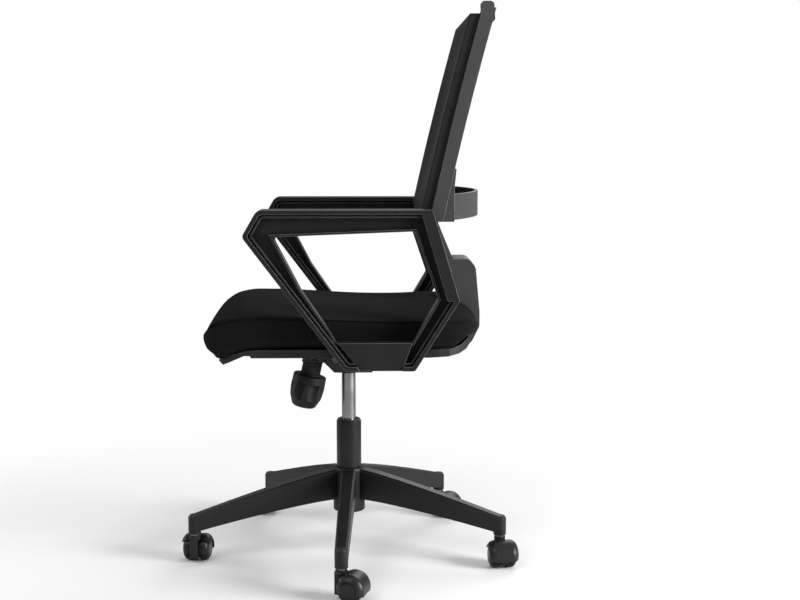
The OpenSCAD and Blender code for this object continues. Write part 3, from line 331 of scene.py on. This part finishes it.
def recess_effect():
    """Recesses for painted shade: how open a place is to the space within a distance, from 0 in a
    deep corner to 1 where it is open."""
    group, given, out = effect("Recess", {"Distance": 0.03}, ["Mask"])
    open_space = put(group, "ShaderNodeAmbientOcclusion", {"Distance": given["Distance"]},
                     samples=8)
    mask = put(group, "ShaderNodeMapRange",
               {"Value": open_space.outputs["AO"], "From Min": 0.45, "From Max": 0.95})
    group.links.new(mask.outputs[0], out["Mask"])
    return group


def weave_effect():
    """Plain weave: two crossed waves whose product lifts each thread in turn. Height is the
    threads' relief, and Gap is 0 between them, where cloth is given painted shade, and 1 on them."""
    group, given, out = effect("Plain Weave", {"Vector": None, "Pitch": 0.001}, ["Height", "Gap"])
    place = put(group, "ShaderNodeSeparateXYZ", {0: given["Vector"]}).outputs
    turns = maths(group, "DIVIDE", math.pi, given["Pitch"])
    across = maths(group, "SINE", maths(group, "MULTIPLY", place[0], turns))
    along = maths(group, "SINE", maths(group, "MULTIPLY", place[1], turns))
    lift = maths(group, "MULTIPLY", across, along)
    ridge = maths(group, "MAXIMUM", maths(group, "ABSOLUTE", across),
                  maths(group, "ABSOLUTE", along))
    group.links.new(maths(group, "MULTIPLY_ADD", lift, WEAVE_LIFT, ridge), out["Height"])
    gap = put(group, "ShaderNodeMapRange", {"Value": ridge, "From Min": 0.25, "From Max": 0.8})
    group.links.new(gap.outputs[0], out["Gap"])
    return group


def drawn_effect():
    """Drawn or turned steel: noise stretched level, so that its streaks run round the upright
    axis. Height is the streaks and Shade a slow smear."""
    group, given, out = effect("Drawn Steel", {"Vector": None, "Streak": 900.0},
                               ["Height", "Shade"])
    stretch = put(group, "ShaderNodeMapping",
                  {"Vector": given["Vector"], "Scale": (0.03, 0.03, 1)})
    streak = put(group, "ShaderNodeTexNoise",
                 {"Vector": stretch.outputs[0], "Scale": given["Streak"], "Detail": 2})
    smear = put(group, "ShaderNodeTexNoise",
                {"Vector": given["Vector"], "Scale": 25, "Detail": 3})
    group.links.new(streak.outputs[0], out["Height"])
    group.links.new(smear.outputs[0], out["Shade"])
    return group


class Finishes:
    """The shader groups, each built once, and the materials made from them."""

    def __init__(self):
        self.grain = grain_effect()
        self.edge = edge_highlight_effect()
        self.recess = recess_effect()
        self.weave = weave_effect()
        self.drawn = drawn_effect()

    def start(self, name, **sockets):
        """A new material with its shader, whose constant sockets are set here."""
        material = bpy.data.materials.new(name)
        material.use_nodes = True
        tree = material.node_tree
        shader = tree.nodes["Principled BSDF"]
        for key, value in sockets.items():
            shader.inputs[key.replace("_", " ")].default_value = value
        return material, tree, shader

    def use(self, tree, group, inputs):
        """A group placed in a material with its own values."""
        return put(tree, "ShaderNodeGroup", inputs, node_tree=group).outputs

    def colour(self, tree, shader, base, spread, shade, painted_light=None, mask=None):
        """Base colour that varies a little with shade, and turns to painted light where the mask
        is: a painted highlight on moulded edges, painted shade between a cloth's threads.
        """
        low = [c * (1 - spread) for c in base]
        high = [min(1, c * (1 + spread)) for c in base]
        mix = put(tree, "ShaderNodeMix", {"Factor": shade, 6: (*low, 1), 7: (*high, 1)},
                  data_type="RGBA").outputs[2]
        if mask is not None:
            mix = put(tree, "ShaderNodeMix", {"Factor": mask, 6: mix, 7: (*painted_light, 1)},
                      data_type="RGBA").outputs[2]
        tree.links.new(mix, shader.inputs["Base Color"])

    def moulded(self, name, base, rough, grain=0.0008, depth=0.3, edge=0.0012, painted_light=7, shine=0.3):
        """Moulded plastic: a fine grain, a painted highlight that makes open edges lighter than the
        base by the given factor, and painted shade that makes recesses shine less."""
        material, tree, shader = self.start(name)
        # Painted shade: recesses keep only a share of the shine.
        space = self.use(tree, self.recess, {"Distance": 0.03})
        recess_shaded_shine = maths(tree, "MULTIPLY_ADD", space["Mask"], shine * (1 - RECESS_SHADE_SHINE),
                        shine * RECESS_SHADE_SHINE)
        tree.links.new(recess_shaded_shine, shader.inputs["Specular IOR Level"])
        place = put(tree, "ShaderNodeTexCoord").outputs["Object"]
        pits = self.use(tree, self.grain, {"Vector": place, "Size": grain})
        # Painted highlight: open edges are lightened, more where they lie open.
        highlit_edge = self.use(tree, self.edge, {"Radius": edge})
        edge_highlight_share = maths(tree, "MULTIPLY", space["Mask"], MOST_EDGE_HIGHLIGHT)
        self.colour(tree, shader, base, 0.12, pits["Shade"], [min(1, c * painted_light) for c in base],
                    maths(tree, "MULTIPLY", highlit_edge["Mask"], edge_highlight_share))
        soft = put(tree, "ShaderNodeMapRange",
                   {"Value": pits["Shade"], "To Min": rough - ROUGH_VARIES,
                    "To Max": rough + ROUGH_VARIES})
        tree.links.new(soft.outputs[0], shader.inputs["Roughness"])
        rounded = put(tree, "ShaderNodeBevel", {"Radius": edge}, samples=6)
        bump = put(tree, "ShaderNodeBump",
                   {"Strength": depth, "Distance": 0.0004, "Height": pits["Height"],
                    "Normal": rounded.outputs[0]})
        tree.links.new(bump.outputs[0], shader.inputs["Normal"])
        return material

    def painted(self, name, base, rough):
        """Powder-coated steel: orange peel under a thin clear gloss."""
        # Like moulded plastic, with a painted highlight on its edges and painted shade in recesses.
        material = self.moulded(name, base, rough, grain=0.0022, depth=0.16, edge=0.0007, painted_light=4)
        material.node_tree.nodes["Principled BSDF"].inputs["Coat Weight"].default_value = 0.15
        return material

    def steel(self, name, base, rough, depth=0.08):
        """Drawn or turned steel, rougher and smoother with its smear."""
        material, tree, shader = self.start(name, Metallic=1.0)
        place = put(tree, "ShaderNodeTexCoord").outputs["Object"]
        streaks = self.use(tree, self.drawn, {"Vector": place})
        self.colour(tree, shader, base, 0.1, streaks["Shade"])
        soft = put(tree, "ShaderNodeMapRange", {"Value": streaks["Shade"], "To Min": rough * 0.8,
                                                "To Max": rough * 1.25})
        tree.links.new(soft.outputs[0], shader.inputs["Roughness"])
        bump = put(tree, "ShaderNodeBump", {"Strength": depth, "Distance": 0.0002,
                                            "Height": streaks["Height"]})
        tree.links.new(bump.outputs[0], shader.inputs["Normal"])
        return material

    def cloth(self, name, base, pitch, depth, map_name=None, sheen=0.25):
        """Woven cloth, with painted shade between its threads, on its own map where it has one."""
        material, tree, shader = self.start(name, Roughness=0.85, Sheen_Weight=sheen,
                                            Sheen_Roughness=0.45, Specular_IOR_Level=0.02)
        body = put(tree, "ShaderNodeTexCoord").outputs["Object"]
        place = put(tree, "ShaderNodeUVMap", uv_map=map_name).outputs[0] if map_name else body
        threads = self.use(tree, self.weave, {"Vector": place, "Pitch": pitch})
        slub = self.use(tree, self.grain, {"Vector": body, "Size": 0.006})
        # Painted shade between the threads, where the cloth is darkened.
        dark = [c * GAP_SHADE for c in base]
        self.colour(tree, shader, base, 0.22, slub["Shade"], dark,
                    maths(tree, "SUBTRACT", 1, threads["Gap"]))
        bump = put(tree, "ShaderNodeBump", {"Strength": depth, "Distance": 0.0006,
                                            "Height": threads["Height"]})
        tree.links.new(bump.outputs[0], shader.inputs["Normal"])
        return material


def finishes():
    """The one set of shader groups, made at its first use."""
    if not hasattr(finishes, "made"):
        finishes.made = Finishes()
    return finishes.made


# Seat

def plan_outline(count, fine=8001):
    """Points of a superellipse |x|^p + |y|^p = 1, spaced evenly along its length, which is taken
    from a fine set of points on it."""
    a = np.linspace(0, 2 * np.pi, fine)
    turn = np.stack([np.cos(a), np.sin(a)], 1)
    line = np.sign(turn) * np.abs(turn) ** (2 / PLAN_POWER)
    run = np.concatenate([[0], np.cumsum(np.linalg.norm(np.diff(line, axis=0), axis=1))])
    at = np.arange(count) / count * run[-1]
    return np.stack([np.interp(at, run, line[:, 0]), np.interp(at, run, line[:, 1])], 1)


def seat_surface(seam, around=288, over=44, down=26, under=7):
    """Rings from the middle of the top to the ridge, down the side and in under the seat. Over the
    top a ring grows as sin(a)^0.4 and falls as 1 - cos(a)^0.4, and its rise over the ridge is
    (top - ridge) * (1 - x^2) + shoulder. Down the side, with s from 0 to 1, it is set in by a
    narrow dip under the ridge, the seam, by a waist as sin(pi s), and at the foot by a smooth
    step; it swells to the front and rear as sin(pi s) * t^4. At the rear it also draws in as
    t^4 * (0.6 (1 - s)^3 + s^3), which rounds it."""
    a = np.linspace(0, np.pi / 2, over + 1)
    s = np.linspace(0, 1, down + 1)[1:] ** SIDE_SPACING
    step = np.clip((s - TUCK_FROM) / (1 - TUCK_FROM), 0, 1)
    side = 1 - (seam * np.exp(-((s - SEAM_AT) / SEAM_WIDE) ** 2) + WAIST * np.sin(np.pi * s)
                + TUCK * step**2 * (3 - 2 * step)) / SEAT_HALF
    grow = np.concatenate([np.sin(a) ** TOP_ROUND, side,
                           side[-1] * np.linspace(1, 0, under + 1)[1:]])
    fall = np.concatenate([1 - np.cos(a) ** TOP_ROUND, np.ones(down + under)])
    tuck = np.concatenate([np.zeros(over + 1), s, np.ones(under)])
    plan = plan_outline(around)
    x = grow[:, None] * plan[None, :, 0]
    t = grow[:, None] * plan[None, :, 1]
    top, ridge, foot = smooth(SEAT_TOP, t), smooth(SEAT_RIDGE, t), smooth(SEAT_UNDER, t)
    rise = (top - ridge) * (1 - x**2) + SHOULDER
    z = ridge + rise * (1 - fall[:, None]) + (foot - ridge) * tuck[:, None]
    bow = np.sin(np.pi * tuck)[:, None]
    draw = (TOP_DRAW * (1 - tuck) ** 3 + tuck**3)[:, None]
    out = 1 + t**4 * np.where(t < 0, FRONT_SWELL * bow, REAR_SWELL * bow - REAR_ROUND * draw)
    points = np.stack([x * SEAT_HALF, t * out * np.where(t < 0, SEAT_FRONT, SEAT_REAR),
                       CUSHION_Z + z * CUSHION_H], -1)
    return points, over


def seat_map(points, ridge_row):
    """Cloth coordinates in metres. On the top a point lies in its own direction from the middle, as
    far as the cloth runs to it; on the side it lies at its run round the seat and down it."""
    rows, around = points.shape[:2]
    closed = np.concatenate([points, points[:, :1]], 1)
    run_out = np.concatenate([np.zeros((1, around)), np.cumsum(
        np.linalg.norm(np.diff(points, axis=0), axis=2), 0)])
    run_round = np.concatenate([[0], np.cumsum(
        np.linalg.norm(np.diff(closed[ridge_row], axis=0), axis=1))])
    way = points[ridge_row, :, :2] / np.linalg.norm(points[ridge_row, :, :2], axis=1)[:, None]
    top = way[None] * run_out[..., None]
    top = np.concatenate([top, top[:, :1]], 1)
    side = np.stack(np.broadcast_arrays(run_round[None, :], np.concatenate(
        [run_out, run_out[:, :1]], 1) - run_out[ridge_row].mean()), -1)
    r, c = np.arange(rows - 1)[:, None], np.arange(around)[None, :]
    corners = [(r, c), (r, c + 1), (r + 1, c + 1), (r + 1, c)]
    is_top = (r < ridge_row)[..., None] & np.ones((1, around, 1), bool)
    return np.stack([np.where(is_top, top[i, j], side[i, j]) for i, j in corners], 2).reshape(-1, 2)


def swell(obj, free, cap):
    """Presses the cloth out by simulation, each point as far as it is free from 0 to 1, and moves
    none further than cap."""
    rest = np.empty(len(obj.data.vertices) * 3, np.float32)
    obj.data.vertices.foreach_get("co", rest)
    held = obj.vertex_groups.new(name="held")
    for level in np.unique(np.round(1 - free, 1)):
        chosen = np.nonzero(np.round(1 - free, 1) == level)[0]
        held.add(chosen.tolist(), float(level), "REPLACE")
    cloth = obj.modifiers.new("cloth", "CLOTH")
    for key, value in CLOTH.items():
        setattr(cloth.settings, key, value)
    cloth.settings.effector_weights.gravity = 0
    cloth.collision_settings.use_collision = False
    cloth.point_cache.frame_start, cloth.point_cache.frame_end = 1, CLOTH_STEPS
    for step in range(1, CLOTH_STEPS + 1):
        bpy.context.scene.frame_set(step)
    shaped = obj.evaluated_get(bpy.context.evaluated_depsgraph_get()).data
    moved = np.empty_like(rest)
    shaped.vertices.foreach_get("co", moved)
    obj.modifiers.remove(cloth)
    bpy.context.scene.frame_set(1)
    shift = (moved - rest).reshape(-1, 3)
    length = np.linalg.norm(shift, axis=1)[:, None]
    shift *= np.minimum(1, cap / np.maximum(length, 1e-9)) * free[:, None]
    obj.data.vertices.foreach_set("co", (rest.reshape(-1, 3) + shift).astype(np.float32).ravel())
    obj.vertex_groups.remove(held)
    obj.data.update()


def close_poles(obj):
    """Merges the points of the first and last rings, which lie on one place each."""
    made = bmesh.new()
    made.from_mesh(obj.data)
    bmesh.ops.remove_doubles(made, verts=made.verts, dist=1e-6)
    bmesh.ops.recalc_face_normals(made, faces=made.faces)
    made.to_mesh(obj.data)
    made.free()
    obj.data.polygons.foreach_set("use_smooth", np.ones(len(obj.data.polygons), bool))


class CHAIR_OT_seat(bpy.types.Operator):
    """Upholster the seat: a crowned top and a side panel that meet in a seam under the ridge"""
    bl_idname = "chair.seat"
    bl_label = "Upholster the Seat"

    def execute(self, context):
        sizes, colours = context.scene.chair_sizes, context.scene.chair_colours
        points, ridge_row = seat_surface(sizes.seam_depth)
        rows, around = points.shape[:2]
        seat = piece("seat_upholstery", points.reshape(-1, 3),
                     grid_quads(rows, around, wrap_columns=True), seat_map(points, ridge_row))
        row = np.arange(rows, dtype=float)
        free = (np.clip(np.abs(row - ridge_row) / FREE_RINGS, 0, 1)
                * np.clip((rows - HELD_RINGS - row) / EASED_RINGS, 0, 1))
        swell(seat, np.repeat(free, around), sizes.swell)
        close_poles(seat)
        # The seat's cloth is given painted shade between its threads.
        material = finishes().cloth("Cushion Cloth", colours.cloth, pitch=0.0011, depth=0.5,
                                    map_name="Cloth", sheen=0.012)
        wear(seat, material, "seat")
        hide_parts("seat_cushion")
        return {"FINISHED"}


# Back

def back_point(x, t, dish, half, t0, t1):
    """A point of the mesh: across by x, up the back by t, on the line y0 + h (lean t + bow t^2),
    and dished back between the carrier's bars by dish * (1 - u^2) * (1 - v^2), with u and v from
    -1 to 1 across and up the space."""
    y0, z0, height, lean, bow = BACK_LINE
    u = np.clip(x / (half - CARRIER_BAR), -1, 1)
    v = np.clip((t - (t0 + t1) / 2) / ((t1 - t0) / 2 - CARRIER_BAR / height), -1, 1)
    y = (y0 + height * (lean * t + bow * t * t) - CARRIER_D - WEAVE_GAP
         + dish * (1 - u**2) * (1 - v**2))
    return np.stack(np.broadcast_arrays(x, y, z0 + height * t), -1)


def threads(paths, side, width, thick):
    """Points and quads of flat threads along paths, an array of thread by place: each section is a
    rectangle, width along side and thick along the normal of path and side, with closed ends."""
    way = np.gradient(paths, axis=1)
    out = np.cross(way, side)
    out /= np.linalg.norm(out, axis=2)[..., None]
    corners = np.stack([paths + side * width / 2 * a + out * thick / 2 * b
                        for a, b in ((-1, -1), (1, -1), (1, 1), (-1, 1))], 2)
    count, places = paths.shape[:2]
    one = grid_quads(places, 4, wrap_columns=True)
    last = (places - 1) * 4
    one = np.concatenate([one, [[3, 2, 1, 0], [last, last + 1, last + 2, last + 3]]])
    quads = (one[None] + (np.arange(count) * places * 4)[:, None, None]).reshape(-1, 4)
    return corners.reshape(-1, 3), quads


def weave(pitch, width, dish):
    """Points and quads of the upright and the level threads. At each crossing they are lifted
    apart along the back's normal, and which of them lies in front turns about from one crossing
    to the next."""
    half = MESH_HIGH.x
    y0, z0, height, lean, bow = BACK_LINE
    t0, t1 = (MESH_LOW.z - z0) / height, (MESH_HIGH.z - z0) / height
    across = int(2 * half / pitch)
    up = int((MESH_HIGH.z - MESH_LOW.z) * ROWS_RUN / pitch)
    x, t = np.meshgrid(np.linspace(-half, half, across), np.linspace(t0, t1, up), indexing="ij")
    rest = back_point(x, t, dish, half, t0, t1)
    turn = (-1.0) ** np.add.outer(np.arange(across), np.arange(up))
    thick = width * THREAD_THICK
    lift = turn[..., None] * np.array([0, 1.0, -lean]) * thick * THREAD_LIFT
    level = np.broadcast_to([1.0, 0, 0], rest.shape)
    rise = np.gradient(rest, axis=1)
    rise /= np.linalg.norm(rise, axis=2)[..., None]
    upright_points, upright_quads = threads(rest + lift, level, width, thick)
    level_points, level_quads = threads((rest - lift).transpose(1, 0, 2),
                                        rise.transpose(1, 0, 2), width, thick)
    return (np.concatenate([upright_points, level_points]),
            np.concatenate([upright_quads, level_quads + len(upright_points)]))


class CHAIR_OT_mesh(bpy.types.Operator):
    """Weave the back: upright and level threads that pass over and under each other"""
    bl_idname = "chair.mesh"
    bl_label = "Weave the Back"

    def execute(self, context):
        sizes, colours = context.scene.chair_sizes, context.scene.chair_colours
        points, quads = weave(sizes.thread_pitch, sizes.thread_width, sizes.mesh_dish)
        # The threads get a faint painted highlight on their edges and painted shade in recesses.
        material = finishes().moulded("Back Thread", colours.mesh, rough=0.5, grain=0.0006,
                                      depth=0.1, edge=0.0001, painted_light=1.5, shine=0.13)
        mesh = piece("back_mesh_weave", points, quads, soft=False)
        wear(mesh, material, "seat")
        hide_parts("back_mesh")
        return {"FINISHED"}


# Tension spring and the boot over it

def at_bolt(points):
    """Turns points from the tension bolt's own axes into the chair's, leaned about X."""
    turn = np.array(Matrix.Rotation(-BOLT_LEAN, 3, "X"))
    return points @ turn.T + np.array([0, BOLT_Y, BOLT_Z])


def squash(obj):
    """Bakes the place of a finished piece round the bolt into its points."""
    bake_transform(obj)


def coil(turns, radius, wire, low, high, sides=10, steps=24):
    """Points and quads of a round wire wound about Z: its centre lies at (r cos a, r sin a) and
    climbs evenly from low to high with a, and a ring of no width closes each end."""
    a = np.linspace(0, 2 * np.pi * turns, turns * steps + 1)
    a = np.concatenate([a[:1], a, a[-1:]])[:, None]
    half = np.full(a.shape, wire / 2)
    half[[0, -1]] = 0
    b = np.linspace(0, 2 * np.pi, sides + 1)[None, :-1]
    out = radius + half * np.cos(b)
    z = low + (high - low) * a / a[-1] + half * np.sin(b)
    points = np.stack([out * np.cos(a), out * np.sin(a), z], -1).reshape(-1, 3)
    return points, grid_quads(len(a), sides, wrap_columns=True)


class CHAIR_OT_spring(bpy.types.Operator):
    """Wind the tension spring"""
    bl_idname = "chair.spring"
    bl_label = "Wind the Spring"

    def execute(self, context):
        low, high = (KNOB_TOP + end for end in COIL_ENDS)
        points, quads = coil(COIL_TURNS, COIL_R, WIRE_D, low, high)
        spring = piece("spring_coil", at_bolt(points), quads)
        close_poles(spring)
        material = finishes().steel("Coil Steel", SPRING_GREY, rough=0.38)
        wear(spring, material)
        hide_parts("tension_spring")
        squash(spring)
        return {"FINISHED"}


def sleeve(folds, around=72, along=61):
    """Points and quads of the boot about Z, its outside and back down its inside. Its radius is
    r + wave cos(2 pi n s) + lip (e^-(s/w)^2 + e^-((1-s)/w)^2), and its top is cut level."""
    a = np.linspace(0, 2 * np.pi, around + 1)[:-1]
    s = np.linspace(0, 1, along)
    wave = FOLD_DEPTH * np.cos(2 * np.pi * folds * s)
    lip = LIP_DEPTH * (np.exp(-(s / LIP_SHARE) ** 2) + np.exp(-((1 - s) / LIP_SHARE) ** 2))
    outer = BOOT_R + wave + lip
    radius = np.concatenate([outer, outer[::-1] - BOOT_WALL])
    run = np.concatenate([s, s[::-1]])
    x = radius[:, None] * np.cos(a)
    y = radius[:, None] * np.sin(a)
    top = (NOSE_Z - BOOT_GAP - BOLT_Z + y * math.sin(BOLT_LEAN)) / math.cos(BOLT_LEAN)
    z = KNOB_TOP + (top - KNOB_TOP) * run[:, None]
    quads = grid_quads(len(run), around, wrap_rows=True, wrap_columns=True)
    return np.stack([x, y, z], -1).reshape(-1, 3), quads[:, ::-1]


class CHAIR_OT_boot(bpy.types.Operator):
    """Make the rubber boot: a sleeve whose radius waves along its length, cut level at the top"""
    bl_idname = "chair.boot"
    bl_label = "Make the Boot"

    def execute(self, context):
        points, quads = sleeve(context.scene.chair_sizes.boot_folds)
        boot = piece("spring_bellows", at_bolt(points), quads)
        # The boot gets a painted highlight on its edges and painted shade in its recesses.
        material = finishes().moulded("Boot Rubber", RUBBER_BLACK, rough=0.62, grain=0.0015,
                                      depth=0.2)
        wear(boot, material)
        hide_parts("spring_boot")
        squash(boot)
        return {"FINISHED"}


# Solids

class CHAIR_OT_solids(bpy.types.Operator):
    """Finish the solids: plastic, paint, steel and cloth by each node's slot in the record"""
    bl_idname = "chair.solids"
    bl_label = "Finish the Solids"

    def execute(self, context):
        colours, kit = context.scene.chair_colours, finishes()
        plastic, cloth, mesh = tuple(colours.plastic), tuple(colours.cloth), tuple(colours.mesh)
        pale, mild, deep = ([c * share for c in plastic] for share in (PALE, MILD, DEEP))
        carrier = [c * CARRIER_PALE for c in mesh]
        # Painted edge highlights; painted shade in recesses and between cloth threads.
        made = {
            "base_plastic": kit.moulded("Base Plastic", deep, rough=0.42, grain=0.0009),
            "hood_plastic": kit.moulded("Hood Plastic", plastic, rough=0.36, grain=0.0007,
                                        depth=0.2),
            "wheel_plastic": kit.moulded("Wheel Plastic", plastic, rough=0.3, grain=0.0007,
                                         depth=0.1),
            "column_paint": kit.painted("Column Paint", deep, rough=0.34),
            "bush_plastic": kit.moulded("Bush Plastic", (0.02, 0.02, 0.021), rough=0.45),
            "lift_chrome": kit.steel("Lift Chrome", (0.52, 0.52, 0.53), rough=0.24, depth=0.03),
            "plain_steel": kit.steel("Plain Steel", tuple(colours.steel), rough=0.34),
            "mechanism_paint": kit.painted("Mechanism Paint", (0.017, 0.017, 0.018), rough=0.4),
            "spring_steel": kit.steel("Spring Steel", SPRING_GREY, rough=0.38),
            "boot_rubber": kit.moulded("Boot Solid", RUBBER_BLACK, rough=0.62),
            "knob_plastic": kit.moulded("Knob Plastic", deep, rough=0.46, grain=0.001, depth=0.5),
            "lever_paint": kit.painted("Lever Paint", (0.018, 0.018, 0.019), rough=0.35),
            "pan_plastic": kit.moulded("Pan Plastic", mild, rough=0.5, grain=0.0012, depth=0.5),
            "seat_fabric": kit.cloth("Cushion Solid Cloth", cloth, pitch=0.0011, depth=0.4),
            # The arms' edges get a strong painted highlight, thirty times as light as their
            # plastic.
            "arm_plastic": kit.moulded("Arm Plastic", plastic, rough=0.4, grain=0.0009,
                                       depth=0.35, painted_light=30),
            "frame_plastic": kit.moulded("Frame Plastic", pale, rough=0.45, grain=0.0012,
                                         depth=0.45),
            "carrier_plastic": kit.cloth("Carrier Cloth", carrier, pitch=0.0016, depth=0.6,
                                         sheen=0.3),
            "mesh_fabric": kit.cloth("Mesh Solid Cloth", mesh, pitch=0.0016, depth=0.4),
            "band_plastic": kit.moulded("Band Plastic", pale, rough=0.42, grain=0.0012,
                                        depth=0.4),
        }
        for row in frame["record"]["subparts"]:
            data = frame["nodes"][row["node"]].data
            data.materials.clear()
            data.materials.append(made[row["material_slot"]])
        return {"FINISHED"}


# Stage

class CHAIR_OT_stage(bpy.types.Operator):
    """Set the stage: a pale floor, soft lamps, a pale world and the camera"""
    bl_idname = "chair.stage"
    bl_label = "Set the Stage"

    def execute(self, context):
        scene = context.scene
        span = np.linspace(-FLOOR_HALF, FLOOR_HALF, FLOOR_POINTS)
        x, y = np.meshgrid(span, span, indexing="ij")
        floor = piece("stage_floor", np.stack([x, y, 0 * x], -1).reshape(-1, 3),
                      grid_quads(FLOOR_POINTS, FLOOR_POINTS)[:, ::-1])
        floor.data.materials.append(floor_material(tuple(scene.chair_colours.floor)))
        for row in LAMPS:
            lamp(*row)
        pale_world(scene)
        camera(scene)
        scene.view_settings.view_transform = "Standard"
        return {"FINISHED"}


def floor_material(colour):
    """A pale floor that takes shadows near the chair and, further out, fades to white for the
    camera and to a dim glow in reflections."""
    material = bpy.data.materials.new("Pale Floor")
    material.use_nodes = True
    tree = material.node_tree
    shader = tree.nodes["Principled BSDF"]
    place = put(tree, "ShaderNodeTexCoord").outputs["Object"]
    speck = put(tree, "ShaderNodeTexNoise", {"Vector": place, "Scale": 3, "Detail": 4})
    dark = [c * SPECK_DARK for c in colour]
    tint = put(tree, "ShaderNodeMix",
               {"Factor": speck.outputs[0], 6: (*dark, 1), 7: (*colour, 1)}, data_type="RGBA")
    tree.links.new(tint.outputs[2], shader.inputs["Base Color"])
    shader.inputs["Roughness"].default_value = 0.8
    reach = put(tree, "ShaderNodeVectorMath", {0: place}, operation="LENGTH").outputs["Value"]
    fade = put(tree, "ShaderNodeMapRange",
               {"Value": reach, "From Min": FADE_FROM, "From Max": FADE_TO},
               interpolation_type="SMOOTHSTEP").outputs[0]
    path = put(tree, "ShaderNodeLightPath").outputs
    seen = maths(tree, "MAXIMUM", path["Is Camera Ray"],
                 maths(tree, "MAXIMUM", path["Is Glossy Ray"], path["Is Transmission Ray"]))
    glow = maths(tree, "MULTIPLY_ADD", path["Is Camera Ray"], 1 - FLOOR_DIM, FLOOR_DIM)
    white = put(tree, "ShaderNodeEmission", {"Color": (1, 1, 1, 1), "Strength": glow})
    both = put(tree, "ShaderNodeMixShader", {0: maths(tree, "MULTIPLY", fade, seen),
                                             1: shader.outputs[0], 2: white.outputs[0]})
    tree.links.new(both.outputs[0], tree.nodes["Material Output"].inputs[0])
    return material


def lamp(name, place, aim, size, power):
    """A square soft lamp at a place, aimed at a point."""
    data = bpy.data.lights.new(name, "AREA")
    data.shape, data.size, data.energy = "SQUARE", size, power
    obj = bpy.data.objects.new(name, data)
    obj.location = place
    obj.rotation_euler = (Vector(aim) - Vector(place)).to_track_quat("-Z", "Y").to_euler()
    bpy.context.scene.collection.objects.link(obj)


def pale_world(scene):
    """A world that is white to the camera, and dim as light on the chair and in reflections."""
    world = bpy.data.worlds.new("Pale World")
    world.use_nodes = True
    tree = world.node_tree
    path = put(tree, "ShaderNodeLightPath").outputs
    seen = maths(tree, "MAXIMUM", path["Is Camera Ray"], path["Is Transmission Ray"])
    glossy = maths(tree, "MULTIPLY", path["Is Glossy Ray"], WORLD_GLOSS)
    strength = put(tree, "ShaderNodeMapRange", {"Value": maths(tree, "MAXIMUM", seen, glossy),
                                                "To Min": WORLD_DIM, "To Max": 1.0}).outputs[0]
    back = tree.nodes["Background"]
    back.inputs["Color"].default_value = (1, 1, 1, 1)
    tree.links.new(strength, back.inputs["Strength"])
    scene.world = world


def camera(scene):
    """The camera at the photograph's place and angle. Its way ahead, with yaw a and pitch b, is
    (-cos a cos b, sin a cos b, -sin b)."""
    data = bpy.data.cameras.new("camera")
    data.sensor_width, data.lens = CAMERA_SENSOR, CAMERA_LENS
    data.clip_end = 60
    obj = bpy.data.objects.new("camera", data)
    level = math.cos(CAMERA_PITCH)
    ahead = Vector((-level * math.cos(CAMERA_YAW), level * math.sin(CAMERA_YAW),
                    -math.sin(CAMERA_PITCH)))
    obj.location = CAMERA_PLACE
    obj.rotation_euler = ahead.to_track_quat("-Z", "Y").to_euler()
    scene.collection.objects.link(obj)
    scene.camera = obj


class CHAIR_PT_panel(bpy.types.Panel):
    """Lists the chair's pieces, with their sizes and colours"""
    bl_idname = "CHAIR_PT_panel"
    bl_label = "Task Chair"
    bl_space_type = "VIEW_3D"
    bl_region_type = "UI"
    bl_category = "Task Chair"

    def draw(self, context):
        for group in (context.scene.chair_sizes, context.scene.chair_colours):
            box = self.layout.box()
            for key in group.__annotations__:
                box.prop(group, key)
        for made in OPERATORS:
            self.layout.operator(made.bl_idname)


OPERATORS = (CHAIR_OT_solids, CHAIR_OT_seat, CHAIR_OT_mesh, CHAIR_OT_spring, CHAIR_OT_boot,
             CHAIR_OT_stage)
CLASSES = (ChairSizes, ChairColours, *OPERATORS, CHAIR_PT_panel)


def register():
    for made in CLASSES:
        bpy.utils.register_class(made)
    bpy.types.Scene.chair_sizes = bpy.props.PointerProperty(type=ChairSizes)
    bpy.types.Scene.chair_colours = bpy.props.PointerProperty(type=ChairColours)


def unregister():
    del bpy.types.Scene.chair_sizes
    del bpy.types.Scene.chair_colours
    for made in reversed(CLASSES):
        bpy.utils.unregister_class(made)


def main():
    register()
    bpy.ops.chair.solids()
    bpy.ops.chair.seat()
    bpy.ops.chair.mesh()
    bpy.ops.chair.spring()
    bpy.ops.chair.boot()
    bpy.ops.chair.stage()


if __name__ == "__main__":
    main()
